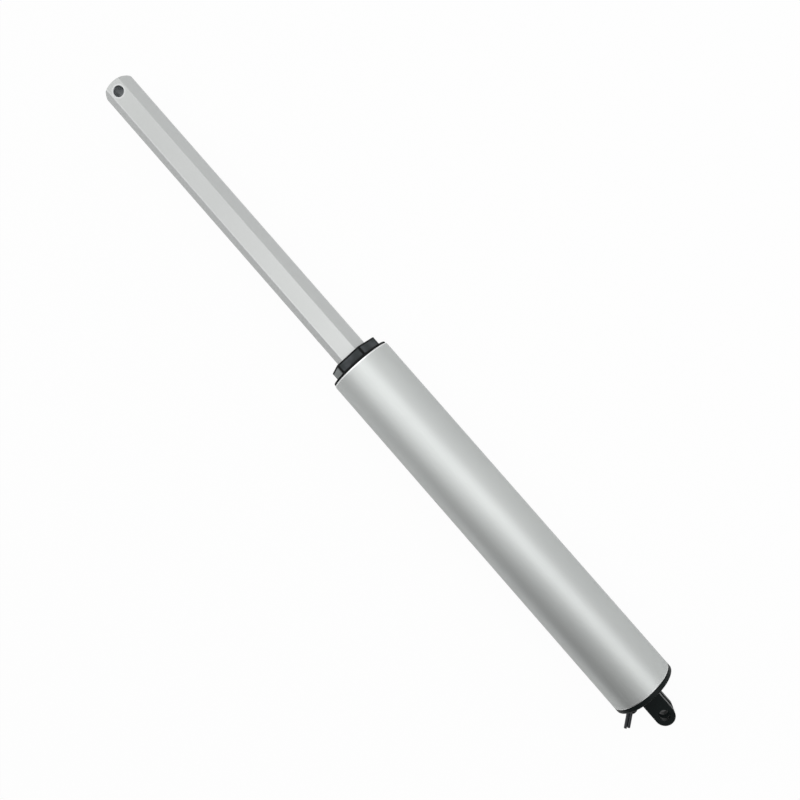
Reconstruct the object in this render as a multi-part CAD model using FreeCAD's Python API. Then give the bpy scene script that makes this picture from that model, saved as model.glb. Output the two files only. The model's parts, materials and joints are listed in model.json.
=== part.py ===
# Electric linear actuator: a round tube with a clevis cap behind and a hexagonal push rod in front.
# The origin is on the axis of the rear clevis pin. X runs along the push rod as it extends, and the
# clevis pin and the rod's eye both run along Z. Millimetres. The rod is drawn run out to its stop.
import FreeCAD, Part
import math
import os

Vector = FreeCAD.Vector
X_AXIS = Vector(1, 0, 0)
Y_AXIS = Vector(0, 1, 0)
Z_AXIS = Vector(0, 0, 1)

# Outside
tube_diameter = 50.0
tube_wall = 2.5
tube_rim_chamfer = 1.2
pin_diameter = 8.0
stroke = 200.0
fit_gap = 0.05           # between pieces of the housing that only have to drop in
running_gap = 0.03       # radial, round a shaft that turns
sliding_gap = 0.08       # on each face of a piece that slides
end_gap = 0.3            # between faces that turn past each other
stop_gap = 1.5           # left at either end of the stroke, before the gland or the block
over = 1.0               # how far a cut runs past the face that it opens

# Rear cap and clevis
pin_to_cap = 20.3
cap_flange = 3.2
cap_edge_round = 0.8
dome_height = 1.5
cap_plug_length = 9.0
cap_plug_wall = 2.2
cap_floor = 4.2          # thickness of the cap behind its cup
ear_width = 15.0
clevis_width = 16.0
clevis_slot = 6.0
slot_floor = 2.2         # from the slot's floor to the cap's rear face
ear_flare = 2.2
ear_edge = 0.5
pin_hole_chamfer = 0.3
seal_thickness = 1.8
seal_room = 0.1
seal_land = 1.2          # from the tube's end to the seal's groove

# Front gland
gland_flange = 1.5
gland_flange_inset = 0.6
gland_flange_bevel = 0.9
gland_hex = 36.0
gland_hex_height = 7.7
gland_depth = 22.0
bush_wall = 2.0
gland_seal_back = 4.0
wiper_depth = 3.5
wiper_gap = 0.15
wiper_step = 0.8
wiper_sink = 0.3
wiper_groove = 0.7
wiper_lip = 1.3

# Push rod
rod_hex = 22.5
rod_bore = 16.0
eye_clear = 72.0         # from the tube's end to the eye when the rod is in
eye_to_tip = 8.8
tip_round = 2.0
eye_chamfer = 0.4
plug_length = 26.0

# Drive nut at the rod's rear end
nut_flange_length = 14.0
nut_flange_gap = 0.7
nut_sleeve_length = 17.0
screw_past_nut = 1.0
guide_ring_width = 6.0
guide_ring_depth = 1.4
guide_ring_gap = 0.15
nut_screw_diameter = 4.0
nut_screw_sink = 0.2
nut_wall = 1.4           # nut left between the screws and its bore

# Lead screw
screw_diameter = 10.0
journal_diameter = 8.0
square_end = 5.6
tip_journal = 6.0
tip_guide_length = 4.0
tip_guide_gap = 0.1
tip_end = 1.4            # journal beyond its clip
clip_thickness = 0.8
clip_width = 1.6
clip_groove_depth = 0.6
clip_gap = 0.2

# Ball bearing
bearing_outside = 22.0
bearing_width = 7.0
ball_diameter = 3.97
ball_count = 7
race_wall = 2.05
groove_gap = 0.07
bearing_shoulder = 2.0
block_front_wall = 3.0
circlip_thickness = 1.0
circlip_width = 1.9
circlip_groove_depth = 0.6
cage_wall = 1.5
cage_side = 0.7
race_relief = 1.0

# Planetary stage
ring_wall = 2.25         # from the ring gear's tooth roots to its outside
sun_teeth = 12
planet_teeth = 18
planet_count = 3
ring_teeth = 2 * planet_teeth + sun_teeth
pressure_angle = math.radians(25)
tooth_backlash = 0.08
gear_width = 8.0
gear_room = 0.3          # round the teeth, to the plain bores
carrier_plate = 2.3
carrier_hub = 14.0
planet_pin = 4.0
pin_land = 3.0           # carrier outside the planet pins
square_gap = 0.02
cross_pin = 1.6
cross_pin_short = 0.1

# Motor
motor_room = 4.5         # between the motor and the tube's bore, for the wires
motor_can_length = 27.0
motor_wall = 1.5
motor_bell = 6.0
motor_edge = 1.0
bell_wall = 2.5
bell_spigot = 2.0
motor_boss = 12.0
boss_height = 2.0
motor_shaft_diameter = 3.2
magnet_thickness = 2.4
core_length = 13.0
core_poles = 5
coil_overhang = 2.5
magnet_gap = 0.6
magnet_span = 116.0
magnet_length = 16.0
core_hub = 5.2           # radius that the necks stand on
core_neck = 4.0
core_shoe = 2.2
core_slot = 2.2
core_to_can = 1.0
coil_gap = 0.05
commutator_diameter = 8.4
commutator_length = 6.5
commutator_slot = 0.4
commutator_slot_depth = 0.7
brush_size = 4.0
brush_set_in = 0.6
brush_hollow = 0.6
bush_diameter = 6.0
bush_length = 4.5
bush_seat_wall = 1.5
terminal_thickness = 0.7
terminal_width = 5.0
terminal_height = 8.5
terminal_reach = 6.0
motor_screw = 3.0
motor_screw_head = 6.0
motor_screw_head_height = 1.6
plate_thickness = 3.0
plate_spigot = 1.0

# Wires
wire_diameter = 2.15
conductor_diameter = 1.1
lead_from_wall = 4.6     # from the cap's cup wall to the middle of the two wires
lead_angle = math.radians(4)
lead_turn = math.radians(50)
lead_bend = 3.5
lead_straight = 14.75
lead_spread = 2.2
lead_slope = math.radians(-5)    # the bend's plane, measured from +Y towards +Z
grommet_lip = 1.2
grommet_wall = 0.55
wire_gap = 0.05
wire_bend = 1.2 * wire_diameter
wire_stagger = 0.5       # between the two inner wires where one passes behind the other

# Limit switches and their strip
strip_width = 10.0
strip_thickness = 1.6
switch_length = 12.8
switch_width = 5.8
switch_height = 6.5
plunger_diameter = 2.0
plunger_out = 0.9
plunger_depth = 2.0
plunger_chamfer = 0.3
plunger_gap = 0.1
slot_gap = 0.4
switch_wire = 1.1
switch_wire_gap = 0.5    # between the two wires
switch_wire_bend = 3.0
channel_room = 0.5

# Screws
grub_diameter = 4.0
grub_sink = 0.3
grub_socket = 2.0
grub_socket_depth = 1.5
grub_angle = 38.0        # either side of straight down
grub_from_edge = 1.0
block_grub_depth = 6.0
clamp_screw = 3.0
clamp_head = 5.2
clamp_head_height = 3.6
clamp_head_round = 1.3
clamp_floor = 0.8        # left under the screw's end
clamp_tip_room = 0.2
clamp_from_edge = 4.4
clamp_angle = math.radians(47.6)

# Places along X, worked out from the sizes above
tube_radius = tube_diameter / 2
bore_radius = tube_radius - tube_wall
housing_radius = bore_radius - fit_gap
cup_radius = housing_radius - cap_plug_wall
lead_y = (cup_radius - lead_from_wall) * math.cos(lead_angle)
lead_z = (cup_radius - lead_from_wall) * math.sin(lead_angle)
clamp_y = (tube_radius - clamp_from_edge) * math.cos(clamp_angle)
clamp_z = (tube_radius - clamp_from_edge) * math.sin(clamp_angle)
gear_module = 2 * (housing_radius - ring_wall) / (ring_teeth + 2.5)
dedendum = 1.25 * gear_module
motor_diameter = 2 * (bore_radius - motor_room)
core_diameter = motor_diameter - 2 * (motor_wall + magnet_thickness + magnet_gap)
motor_screw_circle = (motor_boss + motor_diameter) / 2
tube_rear = pin_to_cap + cap_flange
plug_front = tube_rear + cap_plug_length
cup_floor = pin_to_cap + cap_floor
bell_rear = plug_front
can_rear = bell_rear + motor_bell
can_front = can_rear + motor_can_length
plate_front = can_front + plate_thickness
ring_rear = plate_front
gear_rear = plate_front + plate_spigot / 2 + end_gap
gear_front = gear_rear + gear_width
carrier_rear = gear_front + 2 * end_gap
carrier_front = carrier_rear + carrier_plate
block_rear = carrier_front + end_gap
race_rear = block_rear + bearing_shoulder
race_front = race_rear + bearing_width
block_front = race_front + block_front_wall
nut_rear = block_front + stop_gap + stroke
nut_flange_front = nut_rear + nut_flange_length
gland_rear = nut_flange_front + stop_gap
tube_front = gland_rear + gland_depth
nut_front = nut_flange_front + nut_sleeve_length
screw_front = nut_front + screw_past_nut
tip_guide_front = screw_front + tip_guide_length
gland_flange_front = tube_front + gland_flange
gland_front = gland_flange_front + gland_hex_height
eye_x = tube_front + stroke + eye_clear
rod_tip = eye_x + eye_to_tip
strip_rear = block_front + fit_gap
strip_front = gland_rear - fit_gap
strip_low = -math.sqrt(bore_radius ** 2 - (strip_width / 2) ** 2) + fit_gap
strip_top = strip_low + strip_thickness
switch_top = strip_top + switch_height
pitch_radius = (sun_teeth + planet_teeth) * gear_module / 2
ball_pitch = (journal_diameter + bearing_outside) / 4
closed_length = eye_x - stroke


def along_x(radius, x0, x1, hole=0.0, y=0.0, z=0.0):
    """A round bar or ring along X."""
    bar = Part.makeCylinder(radius, x1 - x0, Vector(x0, y, z), X_AXIS)
    if hole:
        bar = bar.cut(Part.makeCylinder(hole, x1 - x0 + 2 * over, Vector(x0 - over, y, z), X_AXIS))
    return bar


def along_z(radius, z0, z1, x=0.0, y=0.0):
    return Part.makeCylinder(radius, z1 - z0, Vector(x, y, z0), Z_AXIS)


def cone_z(radius0, radius1, z0, z1, x=0.0):
    low, high = min(z0, z1), max(z0, z1)
    first, last = (radius0, radius1) if z0 < z1 else (radius1, radius0)
    return Part.makeCone(first, last, high - low, Vector(x, 0, low), Z_AXIS)


def box(x0, x1, y0, y1, z0, z1):
    return Part.makeBox(x1 - x0, y1 - y0, z1 - z0, Vector(x0, y0, z0))


def face_of(edges):
    return Part.Face(Part.Wire(edges))


def turned(profile):
    """A solid turned about X from corner points (x, radius)."""
    points = [Vector(x, r, 0) for x, r in profile]
    face = Part.Face(Part.makePolygon(points + points[:1]))
    return face.revolve(Vector(0, 0, 0), X_AXIS, 360)


def prism_x(outline, x0, x1):
    """A solid with the same section (y, z) all along X."""
    points = [Vector(x0, y, z) for y, z in outline]
    return Part.Face(Part.makePolygon(points + points[:1])).extrude(Vector(x1 - x0, 0, 0))


def hexagon(across_flats, x0, x1):
    """A hexagonal bar along X with two flats facing up and down."""
    corner = across_flats / math.sqrt(3)
    outline = []
    for step in range(6):
        angle = math.radians(60 * step)
        outline.append((corner * math.cos(angle), corner * math.sin(angle)))
    return prism_x(outline, x0, x1)


def turn_x(shape, degrees):
    copy = shape.copy()
    copy.rotate(Vector(0, 0, 0), X_AXIS, degrees)
    return copy


def radial_bar(radius, inner, outer, x, degrees):
    """A round bar that points away from the X axis, at an angle from +Y towards +Z."""
    return turn_x(Part.makeCylinder(radius, outer - inner, Vector(x, inner, 0), Y_AXIS), degrees)


def group(shapes):
    return Part.makeCompound(shapes)


def involute(angle):
    return math.tan(angle) - angle


def tooth_outline(teeth, root, tip, thickness, phase):
    """A gear outline (y, z): straight roots and tips, and flanks through four points of the involute."""
    pitch = teeth * gear_module / 2
    base = pitch * math.cos(pressure_angle)
    half_pitch = thickness / (2 * pitch) + involute(pressure_angle)
    radii = [max(root, base) + (tip - max(root, base)) * step / 3 for step in range(4)]
    flank = [(r, half_pitch - involute(math.acos(min(1.0, base / r)))) for r in radii]
    if root < base:
        flank.insert(0, (root, flank[0][1]))
    outline = []
    for tooth in range(teeth):
        centre = phase + 2 * math.pi * tooth / teeth
        for r, half in flank:
            outline.append((r * math.cos(centre - half), r * math.sin(centre - half)))
        for r, half in reversed(flank):
            outline.append((r * math.cos(centre + half), r * math.sin(centre + half)))
    return outline


def wire_path(points, radii):
    """Straight runs joined by tangent arcs, one radius for each inner point."""
    edges = []
    start = points[0]
    for before, corner, after, radius in zip(points, points[1:], points[2:], radii):
        back = (before - corner).normalize()
        ahead = (after - corner).normalize()
        half = back.getAngle(ahead) / 2
        reach = radius / math.tan(half)
        first = corner + back * reach
        last = corner + ahead * reach
        middle = (back + ahead).normalize()
        crown = corner + middle * (radius / math.sin(half) - radius)
        edges.append(Part.LineSegment(start, first).toShape())
        edges.append(Part.Arc(first, crown, last).toShape())
        start = last
    edges.append(Part.LineSegment(start, points[-1]).toShape())
    return Part.Wire(edges)


def wire_solid(path, diameter):
    first = path.Edges[0]
    start = first.valueAt(first.FirstParameter)
    heading = first.tangentAt(first.FirstParameter)
    section = Part.Wire(Part.Circle(start, heading, diameter / 2).toShape())
    return path.makePipeShell([section], True, False)


def save(name, shape):
    shape.exportStep("parts/" + name + ".step")
    solids = len(shape.Solids)
    print(f"{name}: {solids} solid(s), {shape.Volume:.1f} mm3, valid {shape.isValid()}")


def hidden_screw_angles():
    """Two grub screws each side of the bottom, where they do not show from above."""
    return (-90 - grub_angle, -90 + grub_angle)


# Housing

def outer_tube():
    c = tube_rim_chamfer
    tube = turned([
        (tube_rear, bore_radius), (tube_rear, tube_radius - c), (tube_rear + c, tube_radius),
        (tube_front - c, tube_radius), (tube_front, tube_radius - c), (tube_front, bore_radius)])
    for x in (cap_screw_x(), block_screw_x()):
        for angle in hidden_screw_angles():
            tube = tube.cut(radial_bar(grub_diameter / 2, bore_radius - over, tube_radius + over, x, angle))
    return tube


def cap_screw_x():
    return plug_front - grub_diameter / 2 - grub_from_edge


def block_screw_x():
    return (race_rear + race_front) / 2


def grub_screws(x, depth):
    """Grub screws that stop just under the tube's outside."""
    outer = tube_radius - grub_sink
    screws = []
    for angle in hidden_screw_angles():
        screw = radial_bar(grub_diameter / 2 - fit_gap, bore_radius - depth, outer, x, angle)
        socket = radial_bar(grub_socket / 2, outer - grub_socket_depth, outer + over, x, angle)
        screws.append(screw.cut(socket))
    return group(screws)


def dome_x(radius):
    """The cap's rear face, a shallow arc from the flange's edge to the middle."""
    flat_radius = tube_radius - cap_edge_round
    ball = (flat_radius ** 2 + dome_height ** 2) / (2 * dome_height)
    return pin_to_cap - dome_height + ball - math.sqrt(ball ** 2 - radius ** 2)


def seal_middle():
    return tube_rear + seal_land + seal_thickness / 2


def cap_body():
    rim = tube_radius - cap_edge_round
    rounding = cap_edge_round * (1 - math.sqrt(0.5))
    edges = [
        Part.Arc(Vector(dome_x(0), 0, 0), Vector(dome_x(rim / 2), rim / 2, 0),
                 Vector(dome_x(rim), rim, 0)).toShape(),
        Part.Arc(Vector(pin_to_cap, rim, 0),
                 Vector(pin_to_cap + rounding, tube_radius - rounding, 0),
                 Vector(pin_to_cap + cap_edge_round, tube_radius, 0)).toShape()]
    corners = [
        (pin_to_cap + cap_edge_round, tube_radius), (tube_rear, tube_radius), (tube_rear, housing_radius),
        (plug_front, housing_radius), (plug_front, cup_radius), (cup_floor, cup_radius), (cup_floor, 0),
        (dome_x(0), 0)]
    for (xa, ra), (xb, rb) in zip(corners, corners[1:]):
        edges.append(Part.LineSegment(Vector(xa, ra, 0), Vector(xb, rb, 0)).toShape())
    return face_of(edges).revolve(Vector(0, 0, 0), X_AXIS, 360)


def ear_outline():
    """The ears seen along the pin: a round end, straight sides and a flare where they meet the cap."""
    half = ear_width / 2
    wide = half + ear_flare
    foot = dome_x(wide)
    root = tube_rear
    bend = ear_flare * (1 - math.sqrt(0.5))
    right = [
        Part.LineSegment(Vector(root, wide, 0), Vector(foot, wide, 0)).toShape(),
        Part.Arc(Vector(foot, wide, 0), Vector(foot - bend, half + bend, 0),
                 Vector(foot - ear_flare, half, 0)).toShape(),
        Part.LineSegment(Vector(foot - ear_flare, half, 0), Vector(0, half, 0)).toShape()]
    left = [
        Part.LineSegment(Vector(0, -half, 0), Vector(foot - ear_flare, -half, 0)).toShape(),
        Part.Arc(Vector(foot - ear_flare, -half, 0), Vector(foot - bend, -half - bend, 0),
                 Vector(foot, -wide, 0)).toShape(),
        Part.LineSegment(Vector(foot, -wide, 0), Vector(root, -wide, 0)).toShape()]
    end = [Part.Arc(Vector(0, half, 0), Vector(-half, 0, 0), Vector(0, -half, 0)).toShape()]
    close = [Part.LineSegment(Vector(root, -wide, 0), Vector(root, wide, 0)).toShape()]
    return right + end + left + close


def clevis():
    """Both ears as one block, flared both ways at its foot, with the slot cut through it."""
    top = clevis_width / 2
    plan = face_of(ear_outline())
    plan.translate(Vector(0, 0, -top - ear_flare))
    block = plan.extrude(Vector(0, 0, 2 * (top + ear_flare)))
    side = side_outline().extrude(Vector(0, tube_diameter, 0))
    side.translate(Vector(0, -tube_radius, 0))
    block = block.common(side)
    slot = box(-ear_width, pin_to_cap - slot_floor, -tube_radius, tube_radius,
               -clevis_slot / 2, clevis_slot / 2)
    return block.cut(slot)


def side_outline():
    """The clevis seen along Y: bevelled edges at the end and a flare at the foot."""
    top = clevis_width / 2
    wide = top + ear_flare
    foot = dome_x(wide)
    end = -ear_width / 2
    root = tube_rear
    bend = ear_flare * (1 - math.sqrt(0.5))
    edges = []
    for sign in (1, -1):
        edges.append(Part.LineSegment(Vector(root, 0, sign * wide), Vector(foot, 0, sign * wide)).toShape())
        edges.append(Part.Arc(Vector(foot, 0, sign * wide), Vector(foot - bend, 0, sign * (top + bend)),
                              Vector(foot - ear_flare, 0, sign * top)).toShape())
        edges.append(Part.LineSegment(Vector(foot - ear_flare, 0, sign * top),
                                      Vector(end + ear_edge, 0, sign * top)).toShape())
        edges.append(Part.LineSegment(Vector(end + ear_edge, 0, sign * top),
                                      Vector(end, 0, sign * (top - ear_edge))).toShape())
    edges.append(Part.LineSegment(Vector(end, 0, top - ear_edge), Vector(end, 0, ear_edge - top)).toShape())
    edges.append(Part.LineSegment(Vector(root, 0, wide), Vector(root, 0, -wide)).toShape())
    return Part.Face(Part.Wire(Part.__sortEdges__(edges)))


def rear_cap():
    cap = cap_body().fuse(clevis())
    top = clevis_width / 2
    hole = pin_diameter / 2
    cap = cap.cut(along_z(hole, -top - over, top + over))
    for sign in (1, -1):
        cap = cap.cut(cone_z(hole + pin_hole_chamfer, hole, sign * top, sign * (top - pin_hole_chamfer)))
    cap = cap.cut(seal_groove(seal_middle()))
    cap = cap.cut(along_x(grommet_neck(), dome_x(0) - over, cup_floor + over, y=lead_y, z=lead_z))
    cap = cap.cut(along_x(clamp_screw / 2, dome_x(0), cup_floor - clamp_floor, y=clamp_y, z=clamp_z))
    for angle in hidden_screw_angles():
        cap = cap.cut(radial_bar(grub_diameter / 2, bore_radius - cap_plug_wall - over, tube_radius,
                                 cap_screw_x(), angle))
    return cap.removeSplitter()


def round_seal(x):
    return Part.makeTorus(bore_radius - seal_thickness / 2, seal_thickness / 2, Vector(x, 0, 0), X_AXIS)


def seal_groove(x):
    half = seal_thickness / 2 + seal_room
    return along_x(tube_radius, x - half, x + half, bore_radius - seal_thickness)


def grommet_neck():
    return lead_spread / 2 + wire_diameter / 2 + grommet_wall


def lead_grommet():
    """A rubber grommet with a lip on each face of the cap's floor and a way through for each wire."""
    neck = grommet_neck()
    rear = dome_x(math.hypot(lead_y, lead_z) - neck) - grommet_lip
    front = cup_floor + grommet_lip / 2
    body = along_x(neck - fit_gap, rear, front, y=lead_y, z=lead_z)
    for side in (1, -1):
        dy, dz = lead_offset(side)
        body = body.cut(along_x(wire_diameter / 2, rear - over, front + over, y=lead_y + dy, z=lead_z + dz))
    return body


def lead_offset(side):
    """How far a wire's middle stands from the middle of the pair, across the bend's plane."""
    return (side * lead_spread / 2 * math.cos(lead_slope), side * lead_spread / 2 * math.sin(lead_slope))


def lead_points(side):
    """One wire: from its motor terminal through the grommet, then bent outwards to its cut end."""
    dy, dz = lead_offset(side)
    out = Vector(0, math.cos(lead_slope), math.sin(lead_slope))
    away = Vector(-math.cos(lead_turn), 0, 0) + out * math.sin(lead_turn)
    radius = lead_bend - side * lead_spread / 2
    exit_x = dome_x(math.hypot(lead_y, lead_z)) - grommet_lip
    corner = Vector(exit_x - lead_bend * math.tan(lead_turn / 2), lead_y, lead_z)
    shift = Vector(0, dy, dz)
    corner_here = corner + shift + Vector(side * lead_spread / 2 * math.tan(lead_turn / 2), 0, 0)
    tip = corner_here + away * (lead_straight + lead_bend * math.tan(lead_turn / 2))
    inside_x = bell_rear - terminal_reach + wire_diameter
    level = side * (terminal_height - wire_diameter / 2 - wire_gap)
    bared = terminal_width / 2 + wire_diameter * 0.7
    if side > 0:
        inside_x += wire_diameter + wire_stagger
    bare_end = Vector(inside_x, bared, level)
    turn = Vector(inside_x, terminal_width / 2 + wire_diameter * 2.5, level)
    entry = Vector(inside_x, lead_y + dy, lead_z + dz)
    return [bare_end, turn, entry, corner_here, tip], [wire_bend, wire_bend, radius]


def lead_wire(side):
    points, bends = lead_points(side)
    path = wire_path(points, bends)
    return wire_solid(path, wire_diameter).cut(wire_solid(path, conductor_diameter))


def lead_conductors():
    """The copper in each wire, bared at the terminal end."""
    wires = []
    for side in (1, -1):
        points, bends = lead_points(side)
        wires.append(wire_solid(wire_path(points, bends), conductor_diameter))
    return group(wires)


def lead_clamp_screw():
    """A cap screw in the cap's rear face, beside the wires."""
    seat = dome_x(math.hypot(clamp_y, clamp_z) - clamp_head / 2)
    end = cup_floor - clamp_floor - clamp_tip_room
    shank = along_x(clamp_screw / 2 - fit_gap, seat, end, y=clamp_y, z=clamp_z)
    head = along_x(clamp_head / 2, seat - clamp_head_height, seat, y=clamp_y, z=clamp_z)
    rim = [edge for edge in head.Edges if edge.BoundBox.XMax < seat - clamp_head_height / 2]
    return head.makeFillet(clamp_head_round, rim).fuse(shank)


def front_gland():
    """Hexagon, flange and barrel in one, bored hexagonal for the bush and the wiper."""
    rim = tube_radius - gland_flange_inset
    flange = turned([
        (tube_front, 0), (tube_front, rim), (gland_flange_front - gland_flange_bevel, rim),
        (gland_flange_front, rim - gland_flange_bevel), (gland_flange_front, 0)])
    barrel = along_x(housing_radius, gland_rear, tube_front)
    head = hexagon(gland_hex, gland_flange_front, gland_front)
    gland = barrel.fuse([flange, head])
    gland = gland.cut(hexagon(bush_outside(), gland_rear - over, gland_front - wiper_depth))
    gland = gland.cut(hexagon(wiper_outside(), gland_front - wiper_depth, gland_front + over))
    return gland.cut(seal_groove(gland_seal_x())).removeSplitter()


def gland_seal_x():
    return tube_front - gland_seal_back


def bush_outside():
    return rod_hex + 2 * (sliding_gap + bush_wall)


def wiper_outside():
    return bush_outside() + 2 * wiper_step


def guide_bush():
    outer = hexagon(bush_outside(), gland_rear, gland_front - wiper_depth)
    return outer.cut(hexagon(rod_hex + 2 * sliding_gap, gland_rear - over, gland_front))


def wiper_seal():
    """The lip ring in the gland's mouth, with a groove behind its lip."""
    rear = gland_front - wiper_depth
    front = gland_front - wiper_sink
    bore = rod_hex + 2 * wiper_gap
    ring = hexagon(wiper_outside(), rear, front)
    ring = ring.cut(hexagon(bore, rear - over, front + over))
    relief = hexagon(bore + 2 * wiper_groove, rear + wiper_step, front - wiper_lip)
    return ring.cut(relief)


# Motor

def motor_can():
    r = motor_diameter / 2
    inner_front = can_front - motor_wall
    can = turned([
        (can_rear, r - motor_wall), (can_rear, r), (can_front - motor_edge, r), (can_front, r - motor_edge),
        (can_front, motor_boss / 2), (can_front + boss_height, motor_boss / 2),
        (can_front + boss_height, bush_diameter / 2), (inner_front, bush_diameter / 2),
        (inner_front, r - motor_wall)])
    for y, z in motor_screw_places():
        can = can.cut(along_x(motor_screw / 2, inner_front - over, can_front + over, y=y, z=z))
    return can


def motor_screw_places():
    return ((motor_screw_circle / 2, 0.0), (-motor_screw_circle / 2, 0.0))


def motor_screws():
    """Countersunk screws that hold the motor to the gearbox plate."""
    screws = []
    shank_radius = motor_screw / 2 - fit_gap
    neck = plate_front - motor_screw_head_height
    for y, z in motor_screw_places():
        shank = along_x(shank_radius, can_front - motor_wall + fit_gap, neck, y=y, z=z)
        head = Part.makeCone(shank_radius, motor_screw_head / 2 - 2 * fit_gap, motor_screw_head_height,
                             Vector(neck, y, z), X_AXIS)
        socket = along_x(motor_screw / 3, neck + motor_screw_head_height / 4, plate_front + over, y=y, z=z)
        screws.append(shank.fuse(head).cut(socket))
    return group(screws)


def motor_magnets():
    """Two arc magnets against the can's wall, one each side."""
    outer = motor_diameter / 2 - motor_wall
    inner = core_diameter / 2 + magnet_gap
    rear = core_middle() - magnet_length / 2
    magnets = []
    ring = along_x(outer, rear, rear + magnet_length, inner)
    for turn in (0, 180):
        sector = Part.makeCylinder(outer + over, magnet_length, Vector(rear, 0, 0), X_AXIS, magnet_span)
        sector.rotate(Vector(0, 0, 0), X_AXIS, turn + sector_start(sector))
        magnets.append(ring.common(sector))
    return group(magnets)


def sector_start(sector):
    """The turn that brings a sector's middle onto +Y."""
    centre = sector.CenterOfMass
    return -math.degrees(math.atan2(centre.z, centre.y))


def core_middle():
    return can_front - motor_wall - core_to_can - coil_overhang - core_length / 2


def motor_end_bell():
    """The plastic rear end of the motor, with a spigot in the can and slots for the terminals."""
    r = motor_diameter / 2
    spigot = r - motor_wall - fit_gap
    spigot_front = can_rear + bell_spigot
    inner = spigot - bell_wall
    bush = bush_diameter / 2
    boss = bush + bush_seat_wall
    bush_front = bell_rear + bush_length
    bell = turned([
        (bell_rear, bush), (bell_rear, r - motor_edge), (bell_rear + motor_edge, r), (can_rear, r),
        (can_rear, spigot), (spigot_front, spigot), (spigot_front, inner), (bell_rear + bell_wall, inner),
        (bell_rear + bell_wall, boss), (bush_front, boss), (bush_front, bush)])
    for side in (1, -1):
        low, high = sorted((side * terminal_height, side * (terminal_height + terminal_thickness)))
        bell = bell.cut(box(bell_rear - over, spigot_front + over, -terminal_width / 2, terminal_width / 2,
                           low, high))
    return bell


def motor_bushes():
    """Sintered bushes at both ends of the motor shaft."""
    hole = motor_shaft_diameter / 2 + running_gap
    rear = along_x(bush_diameter / 2, bell_rear, bell_rear + bush_length, hole)
    front = along_x(bush_diameter / 2, can_front - motor_wall, can_front + boss_height, hole)
    return group([rear, front])


def brush_rear():
    return can_rear + brush_set_in


def motor_terminals():
    """Each strip is a tab outside, runs through the bell and presses on its brush."""
    strips = []
    for side in (1, -1):
        low, high = sorted((side * terminal_height, side * (terminal_height + terminal_thickness)))
        strips.append(box(bell_rear - terminal_reach, brush_rear() + brush_size,
                          -terminal_width / 2, terminal_width / 2, low, high))
    return group(strips)


def motor_brushes():
    """Carbon blocks hollowed to the commutator."""
    half = brush_size / 2
    touch = commutator_diameter / 2 + running_gap
    brushes = []
    for side in (1, -1):
        low, high = sorted((side * (touch - brush_hollow), side * terminal_height))
        block = box(brush_rear(), brush_rear() + brush_size, -half, half, low, high)
        brushes.append(block.cut(along_x(touch, brush_rear() - over, brush_rear() + brush_size + over)))
    return group(brushes)


def pole_angles():
    return [90 + 360 * k / core_poles for k in range(core_poles)]


def armature_core():
    """A five-pole stack: hub, necks and curved pole shoes."""
    rear = core_middle() - core_length / 2
    front = rear + core_length
    r = core_diameter / 2
    core = along_x(core_hub, rear, front)
    shoes = along_x(r, rear, front, r - core_shoe)
    for angle in pole_angles():
        mouth = box(rear - over, front + over, core_hub, r + over, -core_slot / 2, core_slot / 2)
        shoes = shoes.cut(turn_x(mouth, angle + 180 / core_poles))
    core = core.fuse(shoes)
    for angle in pole_angles():
        neck = box(rear, front, core_hub / 2, r - core_shoe / 2, -core_neck / 2, core_neck / 2)
        core = core.fuse(turn_x(neck, angle))
    core = core.removeSplitter()
    return core.cut(along_x(motor_shaft_diameter / 2, rear - over, front + over))


def armature_windings():
    """One coil round each neck of the core."""
    rear = core_middle() - core_length / 2 - coil_overhang
    front = rear + core_length + 2 * coil_overhang
    r = core_diameter / 2
    wound = along_x(r - core_shoe - 2 * coil_gap, rear, front, core_hub + 2 * coil_gap)
    half_neck = core_neck / 2 + coil_gap
    for angle in pole_angles():
        gap = box(rear - over, front + over, 0, r, -core_slot / 2, core_slot / 2)
        wound = wound.cut(turn_x(gap, angle + 180 / core_poles))
        pole = box(rear + coil_overhang, front - coil_overhang, 0, r, -half_neck, half_neck)
        wound = wound.cut(turn_x(pole, angle))
    return group(wound.Solids)


def commutator():
    """Copper bars on the shaft, parted by thin slots."""
    front = core_middle() - core_length / 2 - coil_overhang - end_gap
    rear = front - commutator_length
    r = commutator_diameter / 2
    drum = along_x(r, rear, front, motor_shaft_diameter / 2)
    slot = box(rear - over, front + over, r - commutator_slot_depth, r + over,
               -commutator_slot / 2, commutator_slot / 2)
    for angle in pole_angles():
        drum = drum.cut(turn_x(slot, angle + 180 / core_poles))
    return drum


def motor_shaft():
    return along_x(motor_shaft_diameter / 2, bell_rear + end_gap, gear_front)


# Gearbox

def sun_gear():
    pitch = sun_teeth * gear_module / 2
    thick = math.pi * gear_module / 2 - tooth_backlash
    outline = tooth_outline(sun_teeth, pitch - dedendum, pitch + gear_module, thick,
                            math.pi / 2 + math.pi / sun_teeth)
    gear = prism_x(outline, gear_rear, gear_front)
    return gear.cut(along_x(motor_shaft_diameter / 2, gear_rear - over, gear_front + over))


def planet_angles():
    return [90 + 360 * k / planet_count for k in range(planet_count)]


def planet_place(angle):
    a = math.radians(angle)
    return pitch_radius * math.cos(a), pitch_radius * math.sin(a)


def planet_gear(angle):
    pitch = planet_teeth * gear_module / 2
    thick = math.pi * gear_module / 2 - tooth_backlash
    outline = tooth_outline(planet_teeth, pitch - dedendum, pitch + gear_module, thick,
                            math.radians(angle))
    gear = prism_x(outline, gear_rear, gear_front)
    gear = gear.cut(along_x(planet_pin / 2 + running_gap, gear_rear - over, gear_front + over))
    y, z = planet_place(angle)
    gear.translate(Vector(0, y, z))
    return gear


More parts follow.
